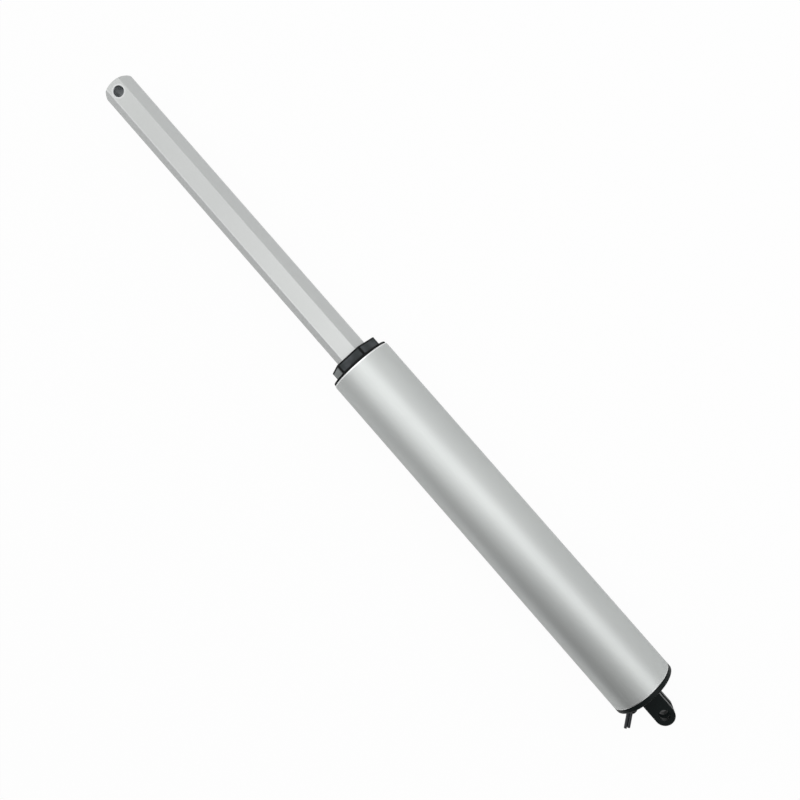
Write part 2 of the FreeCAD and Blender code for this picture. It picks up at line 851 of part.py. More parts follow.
def ring_gear():
    """The toothed ring, stepped at its front to clear the carrier."""
    pitch = ring_teeth * gear_module / 2
    space = math.pi * gear_module / 2 + tooth_backlash
    root = pitch + dedendum
    step = gear_front + end_gap
    outline = tooth_outline(ring_teeth, pitch - gear_module, root, space, math.pi / 2)
    ring = along_x(housing_radius, ring_rear, block_rear)
    ring = ring.cut(prism_x(outline, ring_rear - over, step))
    ring = ring.cut(along_x(root + gear_room, step, block_rear + over))
    ring = ring.cut(along_x(pitch + gear_room, ring_rear - over, ring_rear + plate_spigot + fit_gap))
    return ring.cut(wire_channel())


def gearbox_plate():
    """The plate between motor and gears, with a spigot that centres the ring gear."""
    pitch = ring_teeth * gear_module / 2
    plate = along_x(housing_radius, can_front, plate_front)
    plate = plate.cut(along_x(motor_boss / 2 + fit_gap, can_front - over, can_front + boss_height + fit_gap))
    plate = plate.cut(along_x(bush_diameter / 2 + end_gap, can_front, plate_front + over))
    plate = plate.fuse(along_x(pitch + gear_room - fit_gap, plate_front, plate_front + plate_spigot / 2,
                               pitch - gear_module - gear_room))
    neck = plate_front - motor_screw_head_height
    for y, z in motor_screw_places():
        plate = plate.cut(along_x(motor_screw / 2, can_front - over, plate_front + over, y=y, z=z))
        sink = Part.makeCone(motor_screw / 2, motor_screw_head / 2, motor_screw_head_height,
                             Vector(neck, y, z), X_AXIS)
        plate = plate.cut(sink)
    return plate.cut(wire_channel())


def wire_channel():
    """The groove at the bottom of the gearbox pieces that the switch wires run in."""
    deep = bore_radius - switch_wire - channel_room
    half = switch_wire + channel_room
    return box(can_front - over, block_front + over, -half, half, -tube_radius, -deep)


def planet_carrier():
    """A plate that holds the planet pins, and a hub with a square hole for the screw's end."""
    plate = along_x(pitch_radius + planet_pin / 2 + pin_land, carrier_rear, carrier_front)
    hub = along_x(carrier_hub / 2, carrier_front, race_rear)
    half = square_end / 2 + square_gap
    carrier = plate.fuse(hub).cut(box(carrier_rear - over, race_rear + over, -half, half, -half, half))
    for angle in planet_angles():
        y, z = planet_place(angle)
        carrier = carrier.cut(along_x(planet_pin / 2, carrier_rear - over, carrier_front + over, y=y, z=z))
    return carrier.cut(pin_bar(0.0)).removeSplitter()


def pin_bar(gap):
    """The cross pin through the carrier's hub and the screw's end."""
    reach = carrier_hub / 2 - gap
    x = (carrier_front + race_rear) / 2
    return Part.makeCylinder(cross_pin / 2, 2 * reach, Vector(x, -reach, 0), Y_AXIS)


def planet_pins():
    pins = []
    for angle in planet_angles():
        y, z = planet_place(angle)
        pins.append(along_x(planet_pin / 2, plate_front + end_gap, carrier_front, y=y, z=z))
    return group(pins)


def bearing_block():
    """The block that holds the screw's bearing and takes the thrust."""
    block = along_x(housing_radius, block_rear, block_front)
    block = block.cut(along_x(carrier_hub / 2 + race_relief, block_rear - over, race_rear + over))
    block = block.cut(along_x(bearing_outside / 2, race_rear, block_front + over))
    block = block.cut(along_x(bearing_outside / 2 + circlip_groove_depth, race_front,
                              race_front + circlip_thickness + fit_gap))
    for angle in hidden_screw_angles():
        block = block.cut(radial_bar(grub_diameter / 2, bore_radius - block_grub_depth, tube_radius,
                                     block_screw_x(), angle))
    return block.cut(wire_channel())


def bearing_circlip():
    outer = bearing_outside / 2 + circlip_groove_depth - fit_gap
    clip = along_x(outer, race_front, race_front + circlip_thickness, outer - circlip_width)
    return clip.cut(box(race_front - over, race_front + circlip_thickness + over,
                        -circlip_width, circlip_width, 0, bearing_outside))


def race_middle():
    return (race_rear + race_front) / 2


def ball_groove():
    return Part.makeTorus(ball_pitch, ball_diameter / 2 + groove_gap, Vector(race_middle(), 0, 0), X_AXIS)


def bearing_outer_race():
    outer = bearing_outside / 2
    return along_x(outer, race_rear, race_front, outer - race_wall).cut(ball_groove())


def bearing_inner_race():
    inner = journal_diameter / 2
    return along_x(inner + race_wall, race_rear, race_front, inner).cut(ball_groove())


def ball_places():
    places = []
    for k in range(ball_count):
        a = 2 * math.pi * k / ball_count
        places.append(Vector(race_middle(), ball_pitch * math.cos(a), ball_pitch * math.sin(a)))
    return places


def bearing_balls():
    return group([Part.makeSphere(ball_diameter / 2, place) for place in ball_places()])


def bearing_cage():
    """A crown cage, closed on one side and open on the other."""
    reach = ball_diameter / 2
    low = race_middle() - reach / 2
    high = race_middle() + reach + cage_side
    cage = along_x(ball_pitch + cage_wall / 2, low, high, ball_pitch - cage_wall / 2)
    for place in ball_places():
        cage = cage.cut(Part.makeSphere(reach + fit_gap, place))
    return cage


# Screw

def lead_screw():
    half = square_end / 2
    screw = along_x(screw_diameter / 2, race_front, screw_front)
    screw = screw.fuse(along_x(journal_diameter / 2, race_rear, race_front))
    screw = screw.fuse(box(carrier_rear, race_rear, -half, half, -half, half))
    screw = screw.fuse(along_x(tip_journal / 2, screw_front, tip_guide_front + clip_thickness + tip_end))
    clip_x = tip_guide_front + clip_gap
    groove = along_x(tip_journal, clip_x, clip_x + clip_thickness + fit_gap,
                     tip_journal / 2 - clip_groove_depth)
    screw = screw.cut(groove)
    return screw.cut(pin_bar(0.0)).removeSplitter()


def screw_tip_guide():
    """The plastic disc that keeps the screw's free end central in the rod's bore."""
    outer = rod_bore / 2 - tip_guide_gap
    return along_x(outer, screw_front, tip_guide_front, tip_journal / 2)


def screw_tip_clip():
    x = tip_guide_front + clip_gap
    inner = tip_journal / 2 - clip_groove_depth + fit_gap
    clip = along_x(tip_journal / 2 + clip_width, x, x + clip_thickness, inner)
    return clip.cut(box(x - over, x + clip_thickness + over, -inner, inner, 0, tip_journal * 2))


# Push rod

def push_rod():
    """A hollow hexagonal rod with its end turned round and cross-bored for the eye."""
    corner = rod_hex / math.sqrt(3)
    c = tip_round
    bend = c * (1 - math.sqrt(0.5))
    rod = hexagon(rod_hex, nut_flange_front, rod_tip)
    rear = nut_flange_front - over
    edges = [
        Part.LineSegment(Vector(rear, 0, 0), Vector(rear, corner, 0)).toShape(),
        Part.LineSegment(Vector(rear, corner, 0), Vector(rod_tip - c, corner, 0)).toShape(),
        Part.Arc(Vector(rod_tip - c, corner, 0), Vector(rod_tip - bend, corner - bend, 0),
                 Vector(rod_tip, corner - c, 0)).toShape(),
        Part.LineSegment(Vector(rod_tip, corner - c, 0), Vector(rod_tip, 0, 0)).toShape(),
        Part.LineSegment(Vector(rod_tip, 0, 0), Vector(rear, 0, 0)).toShape()]
    rod = rod.common(face_of(edges).revolve(Vector(0, 0, 0), X_AXIS, 360))
    rod = rod.cut(along_x(rod_bore / 2, rear, rod_tip + over))
    rod = rod.cut(eye_hole())
    for angle in nut_screw_angles():
        rod = rod.cut(radial_bar(nut_screw_diameter / 2, 0, rod_hex, nut_screw_x(), angle))
    return rod


def eye_hole():
    hole = pin_diameter / 2
    top = rod_hex / 2
    cut = along_z(hole, -top - over, top + over, x=eye_x)
    for sign in (1, -1):
        cut = cut.fuse(cone_z(hole + eye_chamfer, hole, sign * top, sign * (top - eye_chamfer), x=eye_x))
    return cut


def rod_end_plug():
    return along_x(rod_bore / 2, rod_tip - plug_length, rod_tip).cut(eye_hole())


def nut_screw_angles():
    return (90, 210, 330)


def nut_screw_x():
    return nut_flange_front + nut_sleeve_length / 2


def strip_slot(x0, x1):
    """The space that the drive nut leaves round the switches and their strip."""
    half = strip_width / 2 + slot_gap
    return box(x0, x1, -half, half, -tube_radius, switch_top + plunger_out + slot_gap)


def drive_nut():
    """A plastic nut: a flange that fills the tube and a sleeve inside the rod."""
    outer = bore_radius - nut_flange_gap
    nut = along_x(outer, nut_rear, nut_flange_front)
    nut = nut.fuse(along_x(rod_bore / 2, nut_flange_front, nut_front))
    middle = (nut_rear + nut_flange_front) / 2
    half = guide_ring_width / 2 + fit_gap
    groove = along_x(tube_radius, middle - half, middle + half, outer - guide_ring_depth)
    nut = nut.cut(groove)
    nut = nut.cut(along_x(screw_diameter / 2 + running_gap, nut_rear - over, nut_front + over))
    nut = nut.cut(strip_slot(nut_rear - over, nut_flange_front + over))
    for angle in nut_screw_angles():
        nut = nut.cut(radial_bar(nut_screw_diameter / 2, screw_diameter / 2 + nut_wall, rod_bore,
                                 nut_screw_x(), angle))
    return nut


def nut_screws():
    """Grub screws through the rod's flats into the nut."""
    inner = screw_diameter / 2 + nut_wall
    outer = rod_hex / 2 - nut_screw_sink
    screws = []
    for angle in nut_screw_angles():
        screw = radial_bar(nut_screw_diameter / 2 - fit_gap, inner, outer, nut_screw_x(), angle)
        socket = radial_bar(grub_socket / 2, outer - grub_socket_depth, outer + over, nut_screw_x(), angle)
        screws.append(screw.cut(socket))
    return group(screws)


def guide_ring():
    """The split ring that runs on the tube's bore, open at the bottom for the strip."""
    middle = (nut_rear + nut_flange_front) / 2
    half = guide_ring_width / 2
    ring = along_x(bore_radius - guide_ring_gap, middle - half, middle + half,
                   bore_radius - nut_flange_gap - guide_ring_depth)
    return ring.cut(strip_slot(middle - half - over, middle + half + over))


# Limit switches

def switch_strip():
    return box(strip_rear, strip_front, -strip_width / 2, strip_width / 2, strip_low, strip_top)


def switch_body(middle):
    half = switch_length / 2
    body = box(middle - half, middle + half, -switch_width / 2, switch_width / 2, strip_top, switch_top)
    well = along_z(plunger_diameter / 2 + plunger_gap, switch_top - plunger_depth - plunger_out,
                   switch_top + over, x=middle)
    return body.cut(well)


def switch_plunger(middle):
    """The button: a small round pin with a domed top."""
    r = plunger_diameter / 2
    top = switch_top + plunger_out
    shoulder = top - plunger_chamfer
    pin = along_z(r, switch_top - plunger_depth, shoulder, x=middle)
    return pin.fuse(cone_z(r, r - plunger_chamfer, shoulder, top, x=middle))


def rear_switch_x():
    return nut_rear - stroke + nut_flange_length / 2


def front_switch_x():
    return nut_rear + nut_flange_length / 2


def switch_wires():
    """Two wires from the strip back past the gearbox to the motor's lower terminal."""
    wires = []
    low = -bore_radius + switch_wire / 2 + channel_room / 2
    beside = -(motor_diameter / 2 + cup_radius) / 2
    high = -terminal_height - terminal_thickness - switch_wire / 2 - wire_gap
    x = bell_rear - terminal_reach / 3
    for side in (1, -1):
        y = side * (switch_wire + switch_wire_gap) / 2
        points = [Vector(strip_rear, y, low), Vector(can_rear + motor_bell / 2, y, low),
                  Vector(can_rear - motor_bell / 4, y, beside), Vector(x, y, beside), Vector(x, y, high)]
        bends = [switch_wire_bend, switch_wire_bend, switch_wire_bend / 2]
        wires.append(wire_solid(wire_path(points, bends), switch_wire))
    return group(wires)


def main():
    os.makedirs("parts", exist_ok=True)
    save("outer_tube", outer_tube())
    save("rear_cap", rear_cap())
    save("rear_cap_seal", round_seal(seal_middle()))
    save("cap_screws", grub_screws(cap_screw_x(), cap_plug_wall))
    save("lead_grommet", lead_grommet())
    save("lead_wire_upper", lead_wire(1))
    save("lead_wire_lower", lead_wire(-1))
    save("lead_conductors", lead_conductors())
    save("lead_clamp_screw", lead_clamp_screw())
    save("front_gland", front_gland())
    save("gland_seal", round_seal(gland_seal_x()))
    save("guide_bush", guide_bush())
    save("wiper_seal", wiper_seal())

    save("motor_can", motor_can())
    save("motor_screws", motor_screws())
    save("motor_magnets", motor_magnets())
    save("motor_end_bell", motor_end_bell())
    save("motor_bushes", motor_bushes())
    save("motor_terminals", motor_terminals())
    save("motor_brushes", motor_brushes())
    save("armature_core", armature_core())
    save("armature_windings", armature_windings())
    save("commutator", commutator())
    save("motor_shaft", motor_shaft())

    save("gearbox_plate", gearbox_plate())
    save("ring_gear", ring_gear())
    save("sun_gear", sun_gear())
    for number, angle in enumerate(planet_angles(), start=1):
        save(f"planet_gear_{number}", planet_gear(angle))
    save("planet_carrier", planet_carrier())
    save("planet_pins", planet_pins())
    save("coupling_pin", pin_bar(cross_pin_short))
    save("bearing_block", bearing_block())
    save("block_screws", grub_screws(block_screw_x(), block_grub_depth))
    save("bearing_circlip", bearing_circlip())
    save("bearing_outer_race", bearing_outer_race())
    save("bearing_inner_race", bearing_inner_race())
    save("bearing_balls", bearing_balls())
    save("bearing_cage", bearing_cage())

    save("lead_screw", lead_screw())
    save("screw_tip_guide", screw_tip_guide())
    save("screw_tip_clip", screw_tip_clip())
    save("push_rod", push_rod())
    save("rod_end_plug", rod_end_plug())
    save("drive_nut", drive_nut())
    save("nut_screws", nut_screws())
    save("guide_ring", guide_ring())

    save("switch_rail", switch_strip())
    save("limit_switch_rear", switch_body(rear_switch_x()))
    save("limit_switch_front", switch_body(front_switch_x()))
    save("switch_plunger_rear", switch_plunger(rear_switch_x()))
    save("switch_plunger_front", switch_plunger(front_switch_x()))
    save("switch_wires", switch_wires())
    print(f"rod out {eye_x:.1f} mm between pins, rod in {closed_length:.1f} mm")


main()
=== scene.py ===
# %% [markdown]
# # An electric linear actuator, dressed in Blender
# The real object is a satin aluminium tube with a motor, a small gearbox and a lead screw inside. A
# hexagonal rod slides out of a black gland in front, and a black clevis cap closes the back. The
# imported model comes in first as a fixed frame. Every piece below is made in the same place and in
# metres, so nothing has to be fitted by eye.

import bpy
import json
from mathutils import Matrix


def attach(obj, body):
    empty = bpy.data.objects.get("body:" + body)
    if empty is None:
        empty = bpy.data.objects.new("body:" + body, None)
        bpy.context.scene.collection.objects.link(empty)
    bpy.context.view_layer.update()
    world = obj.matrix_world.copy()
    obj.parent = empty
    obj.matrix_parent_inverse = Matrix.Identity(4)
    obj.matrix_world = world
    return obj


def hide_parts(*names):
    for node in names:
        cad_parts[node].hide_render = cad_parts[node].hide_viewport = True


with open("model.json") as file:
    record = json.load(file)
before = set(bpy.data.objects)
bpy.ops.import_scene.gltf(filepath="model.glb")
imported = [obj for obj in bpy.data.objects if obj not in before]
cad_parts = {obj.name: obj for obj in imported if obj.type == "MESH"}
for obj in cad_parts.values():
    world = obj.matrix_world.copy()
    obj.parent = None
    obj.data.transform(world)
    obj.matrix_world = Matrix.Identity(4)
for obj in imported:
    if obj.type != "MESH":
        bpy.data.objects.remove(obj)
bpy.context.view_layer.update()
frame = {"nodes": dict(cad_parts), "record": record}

# %% [markdown]
# ## The camera
# The photograph looks down on the actuator from more than half a metre, and a little from one side.
# Where the tube's edges, the eye and the clevis fall in the picture gives one place for the camera.
# Its three axes are written as a matrix, because a matrix says the place and the roll in one go.

# %% Place the camera
import json
import math

import bpy
from mathutils import Matrix, Vector

camera_place = Vector((0.2572, -0.1097, 0.6223))
camera_back = Vector((-0.0562, -0.1661, 0.9845)).normalized()
camera_right = Vector((0.7517, -0.6560, -0.0677)).cross(camera_back).normalized()
camera_up = camera_back.cross(camera_right)
camera_data = bpy.data.cameras.new("camera")
camera_data.sensor_width = 36.0
camera_data.lens = 859.0 / 800.0 * 36.0
camera = bpy.data.objects.new("camera", camera_data)
bpy.context.scene.collection.objects.link(camera)
camera.matrix_world = Matrix((camera_right, camera_up, camera_back)).transposed().to_4x4()
camera.location = camera_place
bpy.context.scene.camera = camera
print("camera at", tuple(round(v, 3) for v in camera.location), "lens", round(camera_data.lens, 2))

# %% [markdown]
# ## Small helpers
# An operator works on whatever is selected, and loading the frame leaves its nodes selected. So the
# first helper selects one piece alone. The others add a round or six-sided bar, cut one shape with
# another, join two shapes, and keep large flat faces flat when the shading is smoothed.

# %% Select, add, cut and join
MM = 0.001
AXIS_TURN = {"x": (0, math.pi / 2, 0), "y": (-math.pi / 2, 0, 0), "z": (0, 0, 0)}


def pick(piece):
    bpy.ops.object.select_all(action="DESELECT")
    piece.select_set(True)
    bpy.context.view_layer.objects.active = piece
    return piece


def settle(piece):
    """Put the piece's place into its mesh, so that its object sits at the origin."""
    pick(piece)
    bpy.ops.object.transform_apply(location=True, rotation=True, scale=True)
    return piece


def bar(name, radius, start, end, sides=96, axis="x", across=(0.0, 0.0), ends="NGON"):
    """A bar along an axis from start to end, in millimetres. Its place on the other axes is across."""
    middle = (start + end) / 2
    place = {"x": (middle, *across), "y": (across[0], middle, across[1]), "z": (*across, middle)}[axis]
    bpy.ops.object.select_all(action="DESELECT")
    bpy.ops.mesh.primitive_cylinder_add(
        vertices=sides, radius=radius * MM, depth=(end - start) * MM, end_fill_type=ends,
        location=[v * MM for v in place], rotation=AXIS_TURN[axis])
    piece = bpy.context.active_object
    piece.name = name
    return settle(piece)


def boolean(piece, other, operation):
    pick(piece)
    step = piece.modifiers.new("join", "BOOLEAN")
    step.operation = operation
    step.solver = "EXACT"
    step.object = other
    bpy.ops.object.modifier_apply(modifier=step.name)
    bpy.data.objects.remove(other, do_unlink=True)
    return piece


def cut(piece, other):
    return boolean(piece, other, "DIFFERENCE")


def join(piece, other):
    return boolean(piece, other, "UNION")


def put_in_order(piece):
    """Sort the mesh by its distance from a lopsided point, so that every run has the same order."""
    pick(piece)
    bpy.context.scene.cursor.location = (0.1234, 0.0567, 0.0891)
    bpy.ops.object.mode_set(mode="EDIT")
    bpy.ops.mesh.select_all(action="SELECT")
    bpy.ops.mesh.sort_elements(type="CURSOR_DISTANCE", elements={"VERT", "EDGE", "FACE"})
    bpy.ops.object.mode_set(mode="OBJECT")
    return piece


# %% [markdown]
# Edges are picked in code by where they are. A function that looks at an edge's two ends says yes or
# no, and the bevel then works on the edges that were picked. The last helper smooths a finished piece
# and weights its normals by face size, which keeps a long flat flat next to its narrow rounded edge.

# %% Bevel chosen edges and smooth a piece
def bevel_edges(piece, chosen, width, steps=3):
    pick(piece)
    bpy.ops.object.mode_set(mode="EDIT")
    bpy.ops.mesh.select_mode(type="EDGE")
    bpy.ops.mesh.select_all(action="DESELECT")
    bpy.ops.object.mode_set(mode="OBJECT")
    points = piece.data.vertices
    for edge in piece.data.edges:
        first, last = (points[i].co / MM for i in edge.vertices)
        edge.select = bool(chosen(first, last))
    count = sum(edge.select for edge in piece.data.edges)
    bpy.ops.object.mode_set(mode="EDIT")
    bpy.ops.mesh.bevel(offset=width * MM, segments=steps, affect="EDGES", clamp_overlap=False)
    bpy.ops.object.mode_set(mode="OBJECT")
    return count


def smooth(piece, degrees=35):
    pick(piece)
    bpy.ops.object.shade_smooth_by_angle(angle=math.radians(degrees))
    weights = piece.modifiers.new("weights", "WEIGHTED_NORMAL")
    weights.keep_sharp = True
    weights.weight = 100
    bpy.ops.object.modifier_apply(modifier=weights.name)
    return piece


def radius_of(point):
    return math.hypot(point.y, point.z)


def hand_over(piece, body, slot, *nodes):
    """The finished piece rides on its body and stands for the nodes of the frame."""
    smooth(piece)
    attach(piece, body)
    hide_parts(*nodes)
    print(piece.name, "stands for", ", ".join(nodes), "with", len(piece.data.polygons), "faces")


# %% [markdown]
# ## The tube
# The real tube is drawn aluminium, turned to length, with a small rounding on each rim that catches
# the light as a bright line. An open cylinder with a wall from Solidify is the same thing. The rims
# are bevelled before the holes are cut, so that only the rims are rounded. The four small holes
# underneath are for the grub screws that hold the cap and the bearing block.

# %% Sizes that the pieces share, in millimetres
tube_radius = 25.0
tube_wall = 2.5
tube_rear = 23.5
tube_front = 331.5
rim_round = 1.2
bore_radius = tube_radius - tube_wall
fit_gap = 0.05
housing_radius = bore_radius - fit_gap
grub_radius = 2.0
grub_angles = (math.radians(-90 - 38), math.radians(-90 + 38))
cap_grub_x = 29.5
block_grub_x = 86.0


def radial_cutter(radius, inner, outer, x, angle):
    """A round cutter that points away from the X axis, at an angle from +Y towards +Z."""
    cutter = bar("cutter", radius, inner, outer, sides=40, axis="z", across=(x, 0.0))
    cutter.rotation_euler = (angle - math.pi / 2, 0, 0)
    return settle(cutter)


# %% Make the tube
tube = bar("tube_shell", tube_radius, tube_rear, tube_front, sides=192, ends="NOTHING")
wall = tube.modifiers.new("wall", "SOLIDIFY")
wall.thickness = tube_wall * MM
wall.offset = -1.0
bpy.ops.object.modifier_apply(modifier=wall.name)


def outer_rim(first, last):
    same_end = abs(first.x - last.x) < 0.01
    outside = min(radius_of(first), radius_of(last)) > tube_radius - 0.1
    return same_end and outside


print("rim edges:", bevel_edges(tube, outer_rim, rim_round, steps=5))
for x in (cap_grub_x, block_grub_x):
    for angle in grub_angles:
        cut(tube, radial_cutter(grub_radius, bore_radius - 2, tube_radius + 2, x, angle))
hand_over(tube, "housing", "tube_finish", "outer_tube")

# %% [markdown]
# ## The push rod
# The rod is a hexagonal bar with a bore. Its long edges are a little rounded by the drawing die, so
# they show as fine bright lines. Its end is turned, which trims the six corners, and is drilled
# across for the eye. A six-sided cylinder is the bar, its long edges are bevelled, a round bar with a
# rounded end trims the corners, and cutters make the bore, the eye and the screw holes.

# %% Make the push rod
rod_flats = 22.5
rod_rear = 308.0
rod_tip = 612.3
eye_x = 603.5
eye_radius = 4.0
eye_sink = 0.4
rod_edge_round = 0.7
rod_end_round = 2.6
rod_bore_radius = 8.0
nut_screw_radius = 2.0
nut_screw_x = 316.5
nut_screw_angles = (90, 210, 330)
rod_corner = rod_flats / math.sqrt(3)
rod = bar("rod_bar", rod_corner, rod_rear, rod_tip, sides=6)


def long_edge(first, last):
    return abs(first.x - last.x) > 10


print("long edges:", bevel_edges(rod, long_edge, rod_edge_round, steps=3))
turned_end = bar("turned_end", rod_corner, rod_rear - 5, rod_tip, sides=120)
bevel_edges(turned_end, lambda a, b: min(a.x, b.x) > rod_tip - 0.01, rod_end_round, steps=6)
boolean(rod, turned_end, "INTERSECT")
cut(rod, bar("bore", rod_bore_radius, rod_rear - 5, rod_tip + 5))
cut(rod, bar("eye", eye_radius, -20, 20, sides=72, axis="z", across=(eye_x, 0.0)))

# %% [markdown]
# The eye has a small countersink on each side. A cone that is a little wider than the hole at the
# flat and as wide as the hole below it cuts exactly that, once from above and once from below.

# %% Countersink the eye and drill the nut's screw holes
def countersink(piece, radius, depth, surface, x):
    """Cut a small cone into both flats, at z = surface and z = -surface."""
    for side in (1, -1):
        bpy.ops.object.select_all(action="DESELECT")
        bpy.ops.mesh.primitive_cone_add(
            vertices=72, radius1=radius * MM, radius2=(radius + 2 * depth) * MM, depth=2 * depth * MM,
            location=(x * MM, 0, side * surface * MM), rotation=(0 if side > 0 else math.pi, 0, 0))
        cut(piece, settle(bpy.context.active_object))


countersink(rod, eye_radius, eye_sink, rod_flats / 2, eye_x)
for degrees in nut_screw_angles:
    cut(rod, radial_cutter(nut_screw_radius, 4, 16, nut_screw_x, math.radians(degrees)))
hand_over(rod, "rod", "rod_finish", "push_rod")

# %% [markdown]
# ## The front gland
# The gland is one moulding: a barrel inside the tube, a flange that covers the tube's rim and a
# hexagon for a spanner. Moulded edges are never quite sharp, so each primitive gets its own small
# bevels while it is still simple. After that the three are joined and bored for the bush and the
# wiper, and a groove takes the rubber ring.

# %% Make the front gland
gland_rear = 309.5
gland_flange_front = 333.0
gland_front = 340.7
gland_flange_radius = 24.4
gland_corner = 36.0 / math.sqrt(3)
bush_corner = 26.66 / math.sqrt(3)
wiper_corner = 28.26 / math.sqrt(3)
wiper_rear = 337.2
gland_seal_x = 327.5
seal_groove_depth = 1.8
gland_edge_round = 0.9
gland_front_round = 0.3
flange_round = 0.4


def ring_cutter(inner, outer, start, end):
    ring = bar("ring", outer, start, end)
    return cut(ring, bar("ring_hole", inner, start - 1, end + 1))


gland = bar("gland_body", gland_corner, gland_flange_front - 0.5, gland_front, sides=6)
bevel_edges(gland, lambda a, b: abs(a.x - b.x) > 2, gland_edge_round, steps=3)
bevel_edges(gland, lambda a, b: min(a.x, b.x) > gland_front - 0.01, gland_front_round, steps=2)
flange = bar("flange", gland_flange_radius, tube_front, gland_flange_front, sides=144)
bevel_edges(flange, lambda a, b: min(a.x, b.x) > gland_flange_front - 0.01, flange_round, steps=3)
join(gland, flange)
join(gland, bar("barrel", housing_radius, gland_rear, tube_front + 0.5, sides=144))
cut(gland, bar("bush_bore", bush_corner, gland_rear - 2, wiper_rear, sides=6))
cut(gland, bar("wiper_bore", wiper_corner, wiper_rear - 0.01, gland_front + 2, sides=6))
groove_floor = bore_radius - seal_groove_depth
cut(gland, ring_cutter(groove_floor, tube_radius, gland_seal_x - 1, gland_seal_x + 1))
hand_over(gland, "housing", "black_gland", "front_gland")

# %% [markdown]
# ## The rear cap and its clevis
# The cap is cast and coated black. Its back is a shallow dome. That starts as a plain disc whose rear
# face is inset and pulled back in rings, a little less each time, until the rings follow the dome's
# arc. The front face is inset and extruded to make the plug that goes into the tube.

# %% Select the flat end of a piece and pull rings out of it
cap_face = 20.3
cap_rim = 24.2
dome_height = 1.5
plug_front = 32.5
cup_radius = housing_radius - 2.2
cup_floor = 24.5
cap_edge_round = 1.2


def dome_x(radius):
    ball = (cap_rim ** 2 + dome_height ** 2) / (2 * dome_height)
    return cap_face - dome_height + ball - math.sqrt(ball ** 2 - radius ** 2)


def pick_end(piece, x):
    """Go into edit mode with only the flat face at this x selected."""
    pick(piece)
    bpy.ops.object.mode_set(mode="EDIT")
    bpy.ops.mesh.select_mode(type="FACE")
    bpy.ops.mesh.select_all(action="DESELECT")
    bpy.ops.object.mode_set(mode="OBJECT")
    faces = piece.data.polygons
    flat = [f for f in faces if abs(f.center.x / MM - x) < 0.01 and abs(f.normal.x) > 0.99]
    for face in flat:
        face.select = True
    bpy.ops.object.mode_set(mode="EDIT")
    return len(flat)


def ring_in(by, move_x):
    """Inset the selected end face and move the new face along X."""
    bpy.ops.mesh.inset(thickness=by * MM, use_even_offset=False)
    bpy.ops.transform.translate(value=(move_x * MM, 0, 0))


def pull_out(by):
    """Extrude the selected end face along X."""
    bpy.ops.mesh.extrude_region_move(TRANSFORM_OT_translate={"value": (by * MM, 0, 0)})


# %% Make the cap's disc, dome and plug
cap = bar("cap_body", tube_radius, cap_face, tube_rear, sides=144)
print("rear faces:", pick_end(cap, cap_face))
ring_in(tube_radius - cap_rim, 0.0)
radii = [cap_rim, 21.0, 18.0, 15.0, 12.0, 9.0, 6.0, 3.0, 0.5]
for wide, narrow in zip(radii, radii[1:]):
    ring_in(wide - narrow, dome_x(narrow) - dome_x(wide))
bpy.ops.object.mode_set(mode="OBJECT")


def rear_edge(first, last):
    same = abs(first.x - cap_face) < 0.01 and abs(last.x - cap_face) < 0.01
    return same and min(radius_of(first), radius_of(last)) > tube_radius - 0.1


print("edges of the cap's rim:", bevel_edges(cap, rear_edge, cap_edge_round, steps=5))
print("front faces:", pick_end(cap, tube_rear))
ring_in(tube_radius - housing_radius, 0.0)
pull_out(plug_front - tube_rear)
ring_in(housing_radius - cup_radius, 0.0)
pull_out(cup_floor - plug_front)
bpy.ops.object.mode_set(mode="OBJECT")

# %% [markdown]
# The clevis is a block with a round end. The round end is two upright edges bevelled by half the
# block's width. Where it meets the cap the casting flares out, so the block's foot is extruded in
# short steps, and each step is scaled along a quarter circle. The slot is cut before the small
# edge rounding, because its edges are rounded too. A boolean cut may list its parts in another order
# on each run, and the bevel then puts some corners a little elsewhere. So the mesh is sorted between.

# %% Make the clevis block
ear_half = 7.5
clevis_half = 8.0
flare = 2.2
flare_steps = 8
clevis_foot = 22.5
slot_middle, slot_length, slot_width = 1.05, 34.1, 6.0
clevis_round = 0.45
pin_sink = 0.3
flare_foot = dome_x(clevis_half + flare)
flare_start = flare_foot - flare
block_rear = -ear_half
bpy.ops.object.select_all(action="DESELECT")
bpy.ops.mesh.primitive_cube_add(
    size=1.0, location=((block_rear + flare_start) / 2 * MM, 0, 0),
    scale=((flare_start - block_rear) * MM, 2 * ear_half * MM, 2 * clevis_half * MM))
clevis = settle(bpy.context.active_object)
clevis.name = "clevis_block"


def end_upright(first, last):
    at_end = max(first.x, last.x) < block_rear + 0.01
    return at_end and abs(first.z - last.z) > 1


print("uprights:", bevel_edges(clevis, end_upright, ear_half - 0.01, steps=28))
pick_end(clevis, flare_start)
half_y, half_z, reached = ear_half, clevis_half, flare_start
for step in range(1, flare_steps + 1):
    turn = math.radians(90 * step / flare_steps)
    next_x = flare_start + flare * math.sin(turn)
    grown = flare * (1 - math.cos(turn))
    pull_out(next_x - reached)
    bpy.ops.transform.resize(
        value=(1, (ear_half + grown) / half_y, (clevis_half + grown) / half_z),
        center_override=(next_x * MM, 0, 0))
    half_y, half_z, reached = ear_half + grown, clevis_half + grown, next_x
pull_out(clevis_foot - reached)
bpy.ops.object.mode_set(mode="OBJECT")

